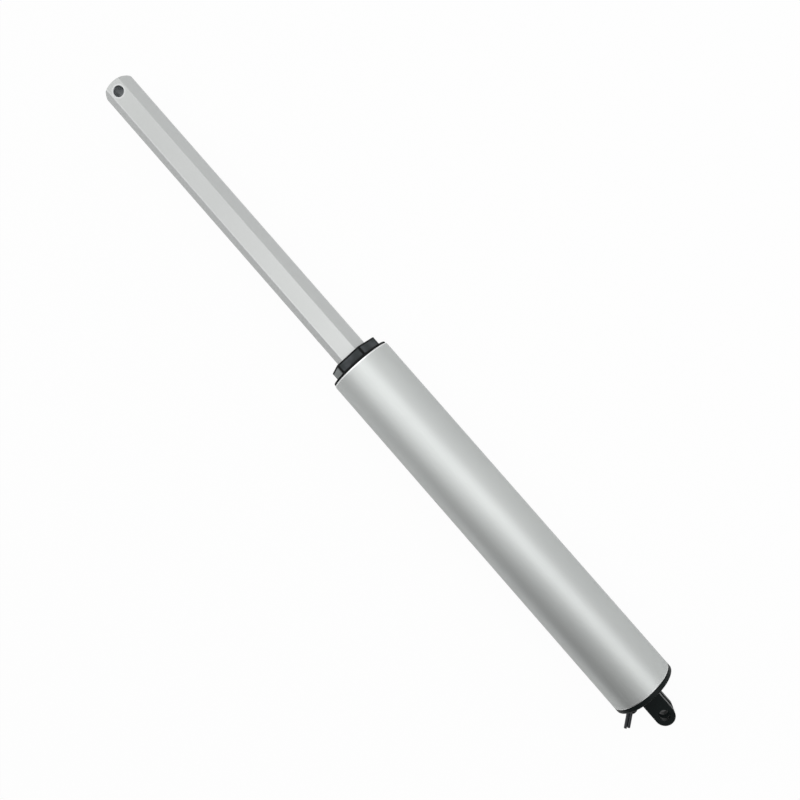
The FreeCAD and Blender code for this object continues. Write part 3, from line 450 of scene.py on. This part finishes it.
# %% Cut the slot, round the edges and add the clevis to the cap
bpy.ops.object.select_all(action="DESELECT")
bpy.ops.mesh.primitive_cube_add(
    size=1.0, location=(slot_middle * MM, 0, 0),
    scale=(slot_length * MM, 60 * MM, slot_width * MM))
cut(clevis, settle(bpy.context.active_object))
put_in_order(clevis)
rounding = clevis.modifiers.new("rounding", "BEVEL")
rounding.width = clevis_round * MM
rounding.segments = 3
rounding.limit_method = "ANGLE"
rounding.angle_limit = math.radians(60)
pick(clevis)
bpy.ops.object.modifier_apply(modifier=rounding.name)
cut(clevis, bar("pin_hole", eye_radius, -20, 20, sides=72, axis="z"))
countersink(clevis, eye_radius, pin_sink, clevis_half, 0.0)
join(cap, clevis)

# %% [markdown]
# The wires leave the cap through a grommet, and a small screw beside them holds them down. Both need
# their hole in the cap, and the plug has two more for the grub screws and a groove for its seal.

# %% Drill the cap
lead_place = (15.612, 1.092)
grommet_radius = 2.725
clamp_place = (13.0, 15.2)
clamp_hole_radius = 1.5
cap_seal_rear, cap_seal_front = 24.6, 26.6
cut(cap, bar("grommet_hole", grommet_radius, 10, cup_floor + 1, sides=56, across=lead_place))
cut(cap, bar("clamp_hole", clamp_hole_radius, 15, cup_floor - 0.8, sides=32, across=clamp_place))
cut(cap, ring_cutter(groove_floor, tube_radius, cap_seal_rear, cap_seal_front))
for angle in grub_angles:
    cut(cap, radial_cutter(grub_radius, cup_radius - 2, tube_radius, cap_grub_x, angle))
hand_over(cap, "housing", "black_cap", "rear_cap")

# %% [markdown]
# ## The clamp screw
# A button of black steel with a hexagon socket. It is a short round bar whose far edge is bevelled in
# steps until the head is nearly a dome. The socket is cut with a six-sided bar.

# %% Make the clamp screw
clamp_head_radius = 2.6
clamp_head_height = 2.0
clamp_head_round = 0.8
clamp_shank_radius = 1.45
clamp_socket_radius = 1.25
clamp_socket_depth = 1.2
clamp_seat = dome_x(math.hypot(*clamp_place) - clamp_head_radius)
clamp_top = clamp_seat - clamp_head_height
screw = bar("clamp_screw", clamp_head_radius, clamp_top, clamp_seat, sides=56, across=clamp_place)
bevel_edges(screw, lambda a, b: max(a.x, b.x) < clamp_top + 0.01, clamp_head_round, steps=5)
join(screw, bar("shank", clamp_shank_radius, clamp_seat - 1, cup_floor - 1, sides=32,
                across=clamp_place))
socket_floor = clamp_top + clamp_socket_depth
cut(screw, bar("socket", clamp_socket_radius, clamp_top - 1, socket_floor, sides=6, across=clamp_place))
hand_over(screw, "housing", "black_steel", "lead_clamp_screw")

# %% [markdown]
# ## The two wires
# Each wire runs from its motor terminal, turns into the grommet and bends away behind the cap, where it
# is cut off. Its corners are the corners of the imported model's route. A curve through them, with every
# corner replaced by an arc, is given a round section. As a mesh it gets a wall, because the copper is
# a piece of its own inside.

# %% Make the wires
wire_radius = 1.11
wire_wall = 0.52
wire_routes = {
    "lead_wire_upper": ([(31.3, 4.005, 7.375), (31.3, 7.875, 7.375), (31.3, 16.708, 0.996),
                    (17.107, 16.708, 0.996), (6.577, 29.209, -0.098)], (2.58, 2.58, 2.4)),
    "lead_wire_lower": ([(28.65, 4.005, -7.375), (28.65, 7.875, -7.375), (28.65, 14.516, 1.188),
                    (16.081, 14.516, 1.188), (5.551, 27.018, 0.094)], (2.58, 2.58, 4.6)),
}


def rounded(corners, bends, steps=10):
    """The route with each inner corner replaced by points on its arc."""
    corners = [Vector(corner) for corner in corners]
    points = [corners[0]]
    for before, corner, after, bend in zip(corners, corners[1:], corners[2:], bends):
        back, ahead = (before - corner).normalized(), (after - corner).normalized()
        half = back.angle(ahead) / 2
        middle = corner + (back + ahead).normalized() * (bend / math.sin(half))
        first = corner + back * (bend / math.tan(half)) - middle
        last = corner + ahead * (bend / math.tan(half)) - middle
        turn = first.angle(last)
        for step in range(steps + 1):
            gone = turn * step / steps
            from_middle = first * math.sin(turn - gone) + last * math.sin(gone)
            points.append(middle + from_middle / math.sin(turn))
    return points + [corners[-1]]


wires = []
for node, (corners, bends) in wire_routes.items():
    name = node.replace("lead_", "smooth_")
    route = bpy.data.curves.new(name, "CURVE")
    route.dimensions = "3D"
    route.bevel_depth = wire_radius * MM
    route.bevel_resolution = 8
    points = rounded(corners, bends)
    line = route.splines.new("POLY")
    line.points.add(len(points) - 1)
    for made, point in zip(line.points, points):
        made.co = (*(point * MM), 1.0)
    wire = bpy.data.objects.new(name, route)
    bpy.context.scene.collection.objects.link(wire)
    pick(wire)
    bpy.ops.object.convert(target="MESH")
    skin = wire.modifiers.new("skin", "SOLIDIFY")
    skin.thickness = wire_wall * MM
    skin.offset = -1.0
    bpy.ops.object.modifier_apply(modifier=skin.name)
    hand_over(wire, "housing", "black_insulation", node)
    wires.append(wire)

# %% [markdown]
# ## Effects that the finishes share
# Two effects come back in almost every finish, so each is a node group. `fine_grain` is noise that
# can be stretched along an axis: stretched it is the drawing lines of metal, unstretched it is the
# texture of cast or moulded surfaces. `soft_marks` is a slow cloud for the slight changes of tone
# that handling leaves. Both put out plain values, and each finish says what it does with them.

# %% Build the two node groups
def new_group(name, inputs, outputs):
    group = bpy.data.node_groups.new(name, "ShaderNodeTree")
    for socket, kind, value in inputs:
        made = group.interface.new_socket(name=socket, in_out="INPUT", socket_type=kind)
        if value is not None:
            made.default_value = value
    for socket in outputs:
        group.interface.new_socket(name=socket, in_out="OUTPUT", socket_type="NodeSocketFloat")
    start = group.nodes.new("NodeGroupInput")
    end = group.nodes.new("NodeGroupOutput")
    return group, start, end


fine_grain, start, end = new_group(
    "fine_grain",
    [("Vector", "NodeSocketVector", None), ("Stretch", "NodeSocketVector", (1.0, 1.0, 1.0)),
     ("Scale", "NodeSocketFloat", 900.0)],
    ["Grain"])
stretch = fine_grain.nodes.new("ShaderNodeVectorMath")
stretch.operation = "MULTIPLY"
noise = fine_grain.nodes.new("ShaderNodeTexNoise")
noise.inputs["Detail"].default_value = 3.0
noise.inputs["Roughness"].default_value = 0.6
fine_grain.links.new(start.outputs["Vector"], stretch.inputs[0])
fine_grain.links.new(start.outputs["Stretch"], stretch.inputs[1])
fine_grain.links.new(stretch.outputs[0], noise.inputs["Vector"])
fine_grain.links.new(start.outputs["Scale"], noise.inputs["Scale"])
fine_grain.links.new(noise.outputs["Fac"], end.inputs["Grain"])

soft_marks, start, end = new_group(
    "soft_marks",
    [("Vector", "NodeSocketVector", None), ("Scale", "NodeSocketFloat", 40.0)],
    ["Marks"])
cloud = soft_marks.nodes.new("ShaderNodeTexNoise")
cloud.inputs["Detail"].default_value = 2.0
spread = soft_marks.nodes.new("ShaderNodeMapRange")
spread.interpolation_type = "SMOOTHSTEP"
spread.inputs["From Min"].default_value = 0.35
spread.inputs["From Max"].default_value = 0.7
soft_marks.links.new(start.outputs["Vector"], cloud.inputs["Vector"])
soft_marks.links.new(start.outputs["Scale"], cloud.inputs["Scale"])
soft_marks.links.new(cloud.outputs["Fac"], spread.inputs["Value"])
soft_marks.links.new(spread.outputs["Result"], end.inputs["Marks"])
print("node groups:", fine_grain.name, "and", soft_marks.name)

# %% [markdown]
# Three finishes change from place to place, mostly to paint light and shade. The tube's rims are
# painted near-white, a painted highlight. The rod has a painted highlight along one edge, side flats
# painted lighter than its top and bottom flats as painted light and shade, a painted highlight ring
# round its eye and painted shade on the wall inside it. The gland has one flat painted paler as a
# painted reflection, a darker black on its corners and flange as painted shade, and a darker black on
# its front edge. Each place is told from Object coordinates alone: `far_out` gives 1 beyond a
# distance from a chosen point, measured along the axes that `Along` keeps.

# %% Build the group that tells far from near
far_out, start, end = new_group(
    "far_out",
    [("Vector", "NodeSocketVector", None), ("Middle", "NodeSocketVector", (0.0, 0.0, 0.0)),
     ("Along", "NodeSocketVector", (1.0, 0.0, 0.0)), ("From", "NodeSocketFloat", 0.1),
     ("To", "NodeSocketFloat", 0.101)],
    ["Far"])
from_middle = far_out.nodes.new("ShaderNodeVectorMath")
from_middle.operation = "SUBTRACT"
kept = far_out.nodes.new("ShaderNodeVectorMath")
kept.operation = "MULTIPLY"
distance = far_out.nodes.new("ShaderNodeVectorMath")
distance.operation = "LENGTH"
edge = far_out.nodes.new("ShaderNodeMapRange")
far_out.links.new(start.outputs["Vector"], from_middle.inputs[0])
far_out.links.new(start.outputs["Middle"], from_middle.inputs[1])
far_out.links.new(from_middle.outputs[0], kept.inputs[0])
far_out.links.new(start.outputs["Along"], kept.inputs[1])
far_out.links.new(kept.outputs[0], distance.inputs[0])
far_out.links.new(distance.outputs["Value"], edge.inputs["Value"])
far_out.links.new(start.outputs["From"], edge.inputs["From Min"])
far_out.links.new(start.outputs["To"], edge.inputs["From Max"])
far_out.links.new(edge.outputs["Result"], end.inputs["Far"])
print("node group:", far_out.name)

# %% [markdown]
# ## The finishes
# Every finish is built the same way and differs in its values. The marks mix two close colours, the
# grain moves the roughness between two values, and the grain is also the height of a bump. What is
# the same all over, such as a coat or the metal share, is set on the shader itself. The function
# below writes such a material, and the table after it gives one line to each finish of the object.

# %% Write one finish
def finish(name, colour, darker, metallic, rough, stretch=(1, 1, 1), grain=900.0, marks=40.0,
           bump=0.05, depth=0.00002, coat=0.0, specular=0.5):
    material = bpy.data.materials.new(name)
    material.use_nodes = True
    nodes, links = material.node_tree.nodes, material.node_tree.links
    shader = nodes["Principled BSDF"]
    place = nodes.new("ShaderNodeTexCoord")
    grained = nodes.new("ShaderNodeGroup")
    grained.node_tree = fine_grain
    grained.inputs["Stretch"].default_value = stretch
    grained.inputs["Scale"].default_value = grain
    marked = nodes.new("ShaderNodeGroup")
    marked.node_tree = soft_marks
    marked.inputs["Scale"].default_value = marks
    tone = nodes.new("ShaderNodeMix")
    tone.data_type = "RGBA"
    tone.inputs[6].default_value = (*colour, 1.0)
    tone.inputs[7].default_value = (*darker, 1.0)
    gloss = nodes.new("ShaderNodeMapRange")
    gloss.inputs["To Min"].default_value = rough[0]
    gloss.inputs["To Max"].default_value = rough[1]
    relief = nodes.new("ShaderNodeBump")
    relief.inputs["Strength"].default_value = bump
    relief.inputs["Distance"].default_value = depth
    links.new(place.outputs["Object"], grained.inputs["Vector"])
    links.new(place.outputs["Object"], marked.inputs["Vector"])
    links.new(marked.outputs["Marks"], tone.inputs[0])
    links.new(grained.outputs["Grain"], gloss.inputs["Value"])
    links.new(grained.outputs["Grain"], relief.inputs["Height"])
    links.new(tone.outputs[2], shader.inputs["Base Color"])
    links.new(gloss.outputs["Result"], shader.inputs["Roughness"])
    links.new(relief.outputs["Normal"], shader.inputs["Normal"])
    shader.inputs["Metallic"].default_value = metallic
    shader.inputs["Coat Weight"].default_value = coat
    shader.inputs["Specular IOR Level"].default_value = specular
    return material


# %% The outside finishes
LINES = (0.02, 1.0, 1.0)
finishes = {
    "tube_finish": finish("tube_finish", (0.61, 0.63, 0.62), (0.59, 0.61, 0.602), 0.9, (0.42, 0.52),
                          LINES, 1800.0, 12.0, 0.06),
    # rod_finish's own colour is kept darker than the side flats set below: painted shade on the rod's
    # top and bottom flats
    "rod_finish": finish("rod_finish", (0.57, 0.582, 0.576), (0.555, 0.568, 0.56), 0.9, (0.40, 0.48),
                         LINES, 1500.0, 15.0, 0.08),
    "black_cap": finish("black_cap", (0.004, 0.0065, 0.0065), (0.006, 0.009, 0.009), 0.0, (0.34, 0.46),
                        grain=1400.0, marks=60.0, bump=0.12, specular=0.14),
    "black_gland": finish("black_gland", (0.027, 0.033, 0.034), (0.060, 0.066, 0.072), 0.0,
                          (0.34, 0.46), grain=1600.0, marks=110.0, bump=0.10, specular=0.18),
    "black_insulation": finish("black_insulation", (0.007, 0.010, 0.013), (0.012, 0.015, 0.018), 0.0,
                               (0.24, 0.34), grain=1200.0, marks=200.0, bump=0.01, specular=0.7),
    "black_steel": finish("black_steel", (0.006, 0.007, 0.008), (0.010, 0.011, 0.012), 0.2, (0.35, 0.5),
                          grain=1500.0, marks=200.0, bump=0.08, specular=0.3),
    "screw_steel": finish("screw_steel", (0.50, 0.51, 0.52), (0.42, 0.43, 0.44), 1.0, (0.28, 0.42),
                          grain=1500.0, marks=250.0, bump=0.06),
}
print("outside finishes:", ", ".join(finishes))


# %% Change a finish where the shape changes
def change_far(material, colour, rough, middle, along, near, far):
    """Beyond a distance, or within it where near is the larger, the finish takes another colour."""
    nodes, links = material.node_tree.nodes, material.node_tree.links
    shader = nodes["Principled BSDF"]
    place = nodes.new("ShaderNodeTexCoord")
    where = nodes.new("ShaderNodeGroup")
    where.node_tree = far_out
    where.inputs["Middle"].default_value = [v * MM for v in middle]
    where.inputs["Along"].default_value = along
    where.inputs["From"].default_value = near * MM
    where.inputs["To"].default_value = far * MM
    links.new(place.outputs["Object"], where.inputs["Vector"])
    tone = nodes.new("ShaderNodeMix")
    tone.data_type = "RGBA"
    tone.inputs[7].default_value = (*colour, 1.0)
    gloss = nodes.new("ShaderNodeMix")
    gloss.inputs[3].default_value = rough
    links.new(shader.inputs["Base Color"].links[0].from_socket, tone.inputs[6])
    links.new(shader.inputs["Roughness"].links[0].from_socket, gloss.inputs[2])
    links.new(where.outputs["Far"], tone.inputs[0])
    links.new(where.outputs["Far"], gloss.inputs[0])
    links.new(tone.outputs[2], shader.inputs["Base Color"])
    links.new(gloss.outputs[0], shader.inputs["Roughness"])


tube_middle = (tube_rear + tube_front) / 2
half_tube = tube_front - tube_middle
ALONG_X, ALONG_Y, FROM_X, FROM_Z = (1, 0, 0), (0, 1, 0), (0, 1, 1), (1, 1, 0)
tube_ends, one_side, centre, eye = (tube_middle, 0, 0), (0, -30, 0), (0, 0, 0), (eye_x, 0, 0)
changes = [  # finish, colour, roughness, middle, along, near, far
    # the tube's rims, painted near-white as a painted highlight
    ("tube_finish", (0.93, 0.94, 0.94), 0.3, tube_ends, ALONG_X, half_tube - 1.4, half_tube - 1.0),
    # the rod's painted highlight along one edge and, over it, side flats painted lighter than the top
    # and bottom flats as painted light and shade; then a painted highlight ring round its eye and
    # painted shade on the eye's wall
    ("rod_finish", (0.70, 0.71, 0.71), 0.38, one_side, ALONG_Y, 35.5, 36.0),
    ("rod_finish", (0.61, 0.625, 0.62), 0.45, centre, ALONG_Y, 6.4, 6.8),
    ("rod_finish", (0.68, 0.69, 0.69), 0.5, eye, FROM_Z, 5.7, 5.0),
    ("rod_finish", (0.42, 0.44, 0.45), 0.4, eye, FROM_Z, 4.5, 4.3),
    # the gland's one flat painted pale as a painted reflection, its corners painted darker as painted
    # shade, its darker front edge and the side of its flange painted darker as painted shade
    ("black_gland", (0.22, 0.24, 0.24), 0.4, one_side, ALONG_Y, 41.2, 42.4),
    ("black_gland", (0.002, 0.003, 0.003), 0.7, centre, FROM_X, 20.0, 20.4),
    ("black_gland", (0.003, 0.004, 0.004), 0.7, (tube_front, 0, 0), ALONG_X, 7.6, 8.1),
    ("black_gland", (0.003, 0.004, 0.004), 0.7, (343, 0, 0), ALONG_X, 8.8, 9.4),
]
for name, *change in changes:
    change_far(finishes[name], *change)

# %% [markdown]
# The inside of the actuator has its own finishes. Nobody sees them in the photograph, but the part is
# looked at in other poses and may be opened, so bronze, copper, sintered steel, ferrite and the green
# strip each get their colour and grain too.

# %% The inside finishes
inside = {
    "seal_rubber": ((0.018, 0.018, 0.019), (0.026, 0.026, 0.027), 0.0, (0.55, 0.7), 900.0, 0.08),
    "copper": ((0.72, 0.33, 0.17), (0.58, 0.25, 0.12), 1.0, (0.25, 0.4), 1100.0, 0.06),
    "motor_steel": ((0.52, 0.53, 0.53), (0.44, 0.45, 0.46), 1.0, (0.30, 0.42), 900.0, 0.05),
    "magnet_black": ((0.050, 0.050, 0.052), (0.075, 0.075, 0.078), 0.2, (0.55, 0.7), 1300.0, 0.15),
    "motor_plastic": ((0.035, 0.036, 0.038), (0.048, 0.049, 0.05), 0.0, (0.45, 0.6), 1200.0, 0.1),
    "bronze": ((0.52, 0.33, 0.14), (0.42, 0.26, 0.11), 1.0, (0.42, 0.58), 2200.0, 0.2),
    "brass_strip": ((0.72, 0.53, 0.23), (0.6, 0.43, 0.18), 1.0, (0.25, 0.38), 1000.0, 0.05),
    "carbon": ((0.030, 0.030, 0.032), (0.05, 0.05, 0.052), 0.1, (0.6, 0.75), 1800.0, 0.2),
    "gear_steel": ((0.40, 0.40, 0.41), (0.32, 0.32, 0.33), 1.0, (0.36, 0.5), 1800.0, 0.12),
    "cast_metal": ((0.26, 0.26, 0.26), (0.2, 0.2, 0.205), 0.9, (0.5, 0.65), 1600.0, 0.25),
    "block_metal": ((0.60, 0.61, 0.61), (0.52, 0.53, 0.53), 1.0, (0.32, 0.45), 1100.0, 0.06),
    "bearing_steel": ((0.58, 0.58, 0.59), (0.52, 0.52, 0.53), 1.0, (0.14, 0.24), 700.0, 0.02),
    "screw_thread_steel": ((0.50, 0.50, 0.51), (0.42, 0.42, 0.43), 1.0, (0.22, 0.34), 1000.0, 0.05),
    "bush_plastic": ((0.74, 0.73, 0.68), (0.7, 0.68, 0.62), 0.0, (0.4, 0.52), 900.0, 0.05),
    "nut_plastic": ((0.70, 0.69, 0.64), (0.65, 0.63, 0.57), 0.0, (0.42, 0.55), 900.0, 0.05),
    "strip_green": ((0.020, 0.17, 0.07), (0.015, 0.13, 0.05), 0.0, (0.3, 0.42), 1300.0, 0.08),
    "switch_black": ((0.022, 0.022, 0.023), (0.032, 0.032, 0.034), 0.0, (0.42, 0.55), 1500.0, 0.08),
    "button_red": ((0.42, 0.02, 0.015), (0.35, 0.018, 0.012), 0.0, (0.32, 0.42), 1200.0, 0.04),
    "wire_red": ((0.42, 0.02, 0.015), (0.36, 0.018, 0.014), 0.0, (0.4, 0.5), 1200.0, 0.04),
}
for name, (colour, darker, metallic, rough, grain, bump) in inside.items():
    finishes[name] = finish(name, colour, darker, metallic, rough, grain=grain, marks=150.0, bump=bump)
print("inside finishes:", len(inside))

# %% Give every node and every new piece its finish
slot_of = {entry["node"]: entry["material_slot"] for entry in frame["record"]["subparts"]}
for name, node in frame["nodes"].items():
    node.data.materials.clear()
    node.data.materials.append(finishes[slot_of[name]])
dressed = [(tube, "tube_finish"), (rod, "rod_finish"), (gland, "black_gland"),
           (cap, "black_cap"), (screw, "black_steel")]
dressed += [(wire, "black_insulation") for wire in wires]
for piece, slot in dressed:
    piece.data.materials.clear()
    piece.data.materials.append(finishes[slot])
print("nodes with a finish:", len(frame["nodes"]))

# %% [markdown]
# ## The floor
# The actuator lies on a wide pale floor at the height of the tube's lowest line. The photograph's
# ground is pure white. So the floor is white paper that shines by itself for rays from the camera and
# for reflections, while the rest of its look is plain diffuse paper that keeps a soft shadow. Under the
# tube and the clevis a painted shadow takes the paper's shine nearly away, in a dark strip where a
# thing lies on it. Through the clevis's pin hole that painted shadow strip is seen, as in the
# photograph. Beside the clevis a patch of the paper shines in full for reflections, a painted
# reflection which draws the light line on the side of its ears.

# %% Make the floor
bpy.ops.object.select_all(action="DESELECT")
bpy.ops.mesh.primitive_plane_add(size=8.0, location=(0.3, 0, -tube_radius * MM))
floor = settle(bpy.context.active_object)
floor.name = "floor"
camera_share, mirror_share, full_share = 0.96, 0.08, 0.93
# Painted shadow: under the tube and the clevis the floor's shine drops to this strength, in a strip
# round this middle
shade_strength = 0.06
shade_middle = (157.5, 3.5)
paper = bpy.data.materials.new("paper")
paper.use_nodes = True
nodes, links = paper.node_tree.nodes, paper.node_tree.links
nodes.remove(nodes["Principled BSDF"])
matt = nodes.new("ShaderNodeBsdfDiffuse")
matt.inputs["Color"].default_value = (0.72, 0.72, 0.72, 1)
white = nodes.new("ShaderNodeEmission")
white.inputs["Color"].default_value = (1, 1, 1, 1)
white.inputs["Strength"].default_value = 1.0
ray = nodes.new("ShaderNodeLightPath")
seen = nodes.new("ShaderNodeMath")
seen.operation = "MULTIPLY"
seen.inputs[1].default_value = camera_share
mirrored = nodes.new("ShaderNodeMath")
mirrored.operation = "MULTIPLY_ADD"
mirrored.inputs[1].default_value = mirror_share
through = nodes.new("ShaderNodeMath")
through.operation = "MULTIPLY_ADD"
through.inputs[1].default_value = full_share
blend = nodes.new("ShaderNodeMixShader")
links.new(ray.outputs["Is Camera Ray"], seen.inputs[0])
links.new(ray.outputs["Is Glossy Ray"], mirrored.inputs[0])
links.new(seen.outputs[0], mirrored.inputs[2])
links.new(ray.outputs["Is Transmission Ray"], through.inputs[0])
links.new(mirrored.outputs[0], through.inputs[2])
links.new(through.outputs[0], blend.inputs["Fac"])
links.new(matt.outputs[0], blend.inputs[1])
links.new(white.outputs[0], blend.inputs[2])
links.new(blend.outputs[0], nodes["Material Output"].inputs["Surface"])
place = nodes.new("ShaderNodeTexCoord")


def far_on_floor(middle, along, near, far):
    """A mask on the floor, 1 beyond a distance from a place."""
    mask = nodes.new("ShaderNodeGroup")
    mask.node_tree = far_out
    mask.inputs["Middle"].default_value = (middle[0] * MM, middle[1] * MM, 0)
    mask.inputs["Along"].default_value = along
    mask.inputs["From"].default_value = near * MM
    mask.inputs["To"].default_value = far * MM
    links.new(place.outputs["Object"], mask.inputs["Vector"])
    return mask.outputs["Far"]


# A painted shadow: in a strip under the tube and the clevis the white shine fades down to shade_strength
outside = nodes.new("ShaderNodeMath")
outside.operation = "MAXIMUM"
painted_shadow = nodes.new("ShaderNodeMapRange")
painted_shadow.interpolation_type = "SMOOTHSTEP"
painted_shadow.inputs["To Min"].default_value = shade_strength
# A painted reflection: near a point beside the clevis the paper shines in full for glossy rays, which
# puts a light line on the side of the ears
bright = nodes.new("ShaderNodeMapRange")
bright.inputs["To Min"].default_value = full_share
bright.inputs["To Max"].default_value = mirror_share
links.new(far_on_floor(shade_middle, ALONG_X, 168.5, 173), outside.inputs[0])
links.new(far_on_floor(shade_middle, ALONG_Y, 2.5, 7.5), outside.inputs[1])
links.new(outside.outputs[0], painted_shadow.inputs["Value"])
links.new(painted_shadow.outputs["Result"], white.inputs["Strength"])
links.new(far_on_floor((-8, -13), (0.6, 1, 0), 9, 16), bright.inputs["Value"])
links.new(bright.outputs["Result"], mirrored.inputs[1])
floor.data.materials.append(paper)
print("floor at z =", round(floor.data.vertices[0].co.z, 4))

# %% [markdown]
# ## The light
# A studio for such a part is a white room with soft lamps round it. The world is the room: bright
# towards one side and dark towards the other, so the tube gets a light side and a shaded one. The long
# strip lamp hangs overhead, turned on the floor plan, and makes the soft highlight that wanders along
# the tube. A weak lamp hangs above the front, a fill from the right is kept out of reflections, and
# three more stand at the front wall, high in front and high behind.

# %% Set the room and the lamps
world = bpy.data.worlds.new("room")
bpy.context.scene.world = world
world.use_nodes = True
nodes, links = world.node_tree.nodes, world.node_tree.links
room = nodes["Background"]
room.inputs["Strength"].default_value = 1.0
place = nodes.new("ShaderNodeTexCoord")
along = nodes.new("ShaderNodeVectorMath")
along.operation = "DOT_PRODUCT"
along.inputs[1].default_value = (1.5, -0.43, 0.0)
fade = nodes.new("ShaderNodeMapRange")
fade.interpolation_type = "SMOOTHSTEP"
fade.inputs["From Min"].default_value = -1.2
fade.inputs["From Max"].default_value = 0.35
fade.inputs["To Min"].default_value = 0.02
fade.inputs["To Max"].default_value = 0.89
tint = nodes.new("ShaderNodeCombineColor")
ray = nodes.new("ShaderNodeLightPath")
shown = nodes.new("ShaderNodeMix")
shown.data_type = "RGBA"
shown.inputs[7].default_value = (1, 1, 1, 1)
links.new(place.outputs["Generated"], along.inputs[0])
links.new(along.outputs["Value"], fade.inputs["Value"])
for channel in ("Red", "Green", "Blue"):
    links.new(fade.outputs["Result"], tint.inputs[channel])
links.new(ray.outputs["Is Camera Ray"], shown.inputs[0])
links.new(tint.outputs[0], shown.inputs[6])
links.new(shown.outputs[2], room.inputs["Color"])


def lamp(name, place, target, size, watts):
    data = bpy.data.lights.new(name, "AREA")
    data.shape = "RECTANGLE"
    data.size, data.size_y = size
    data.energy = watts
    light = bpy.data.objects.new(name, data)
    bpy.context.scene.collection.objects.link(light)
    light.location = place
    heading = Vector(target) - Vector(place)
    light.rotation_euler = heading.to_track_quat("-Z", "Y").to_euler()
    return light


def face_down(light, along):
    """Turn a lamp to shine straight down, with its long side along a direction on the floor."""
    light.rotation_euler = (0, 0, math.atan2(along[1], along[0]))


strip = lamp("strip", (-0.07, -0.50, 0.8), (-0.07, -0.50, 0.0), (1.6, 0.62), 3.0)
face_down(strip, (0.78, 0.62))
front_top = lamp("front_top", (0.42, 0.40, 0.8), (0.42, 0.40, 0.0), (0.6, 0.6), 0.7)
right_fill = lamp("right_fill", (0.5, -1.1, 0.3), (0.4, 0.0, 0.0), (1.3, 0.6), 2.2)
right_fill.visible_glossy = False
lamps = [
    strip, front_top, right_fill,
    lamp("front_wall", (1.7, 0.0, 0.3), (0.5, 0.0, 0.1), (1.4, 0.9), 5.0),
    lamp("front_high", (1.25, -0.1, 0.75), (0.33, 0.0, 0.02), (1.0, 0.5), 0.5),
    lamp("rear_high", (-0.8, -0.1, 0.6), (0.02, 0.0, 0.02), (1.0, 0.5), 1.2)]
bpy.context.scene.view_settings.view_transform = "Standard"
print("lamps:", ", ".join(light.name for light in lamps))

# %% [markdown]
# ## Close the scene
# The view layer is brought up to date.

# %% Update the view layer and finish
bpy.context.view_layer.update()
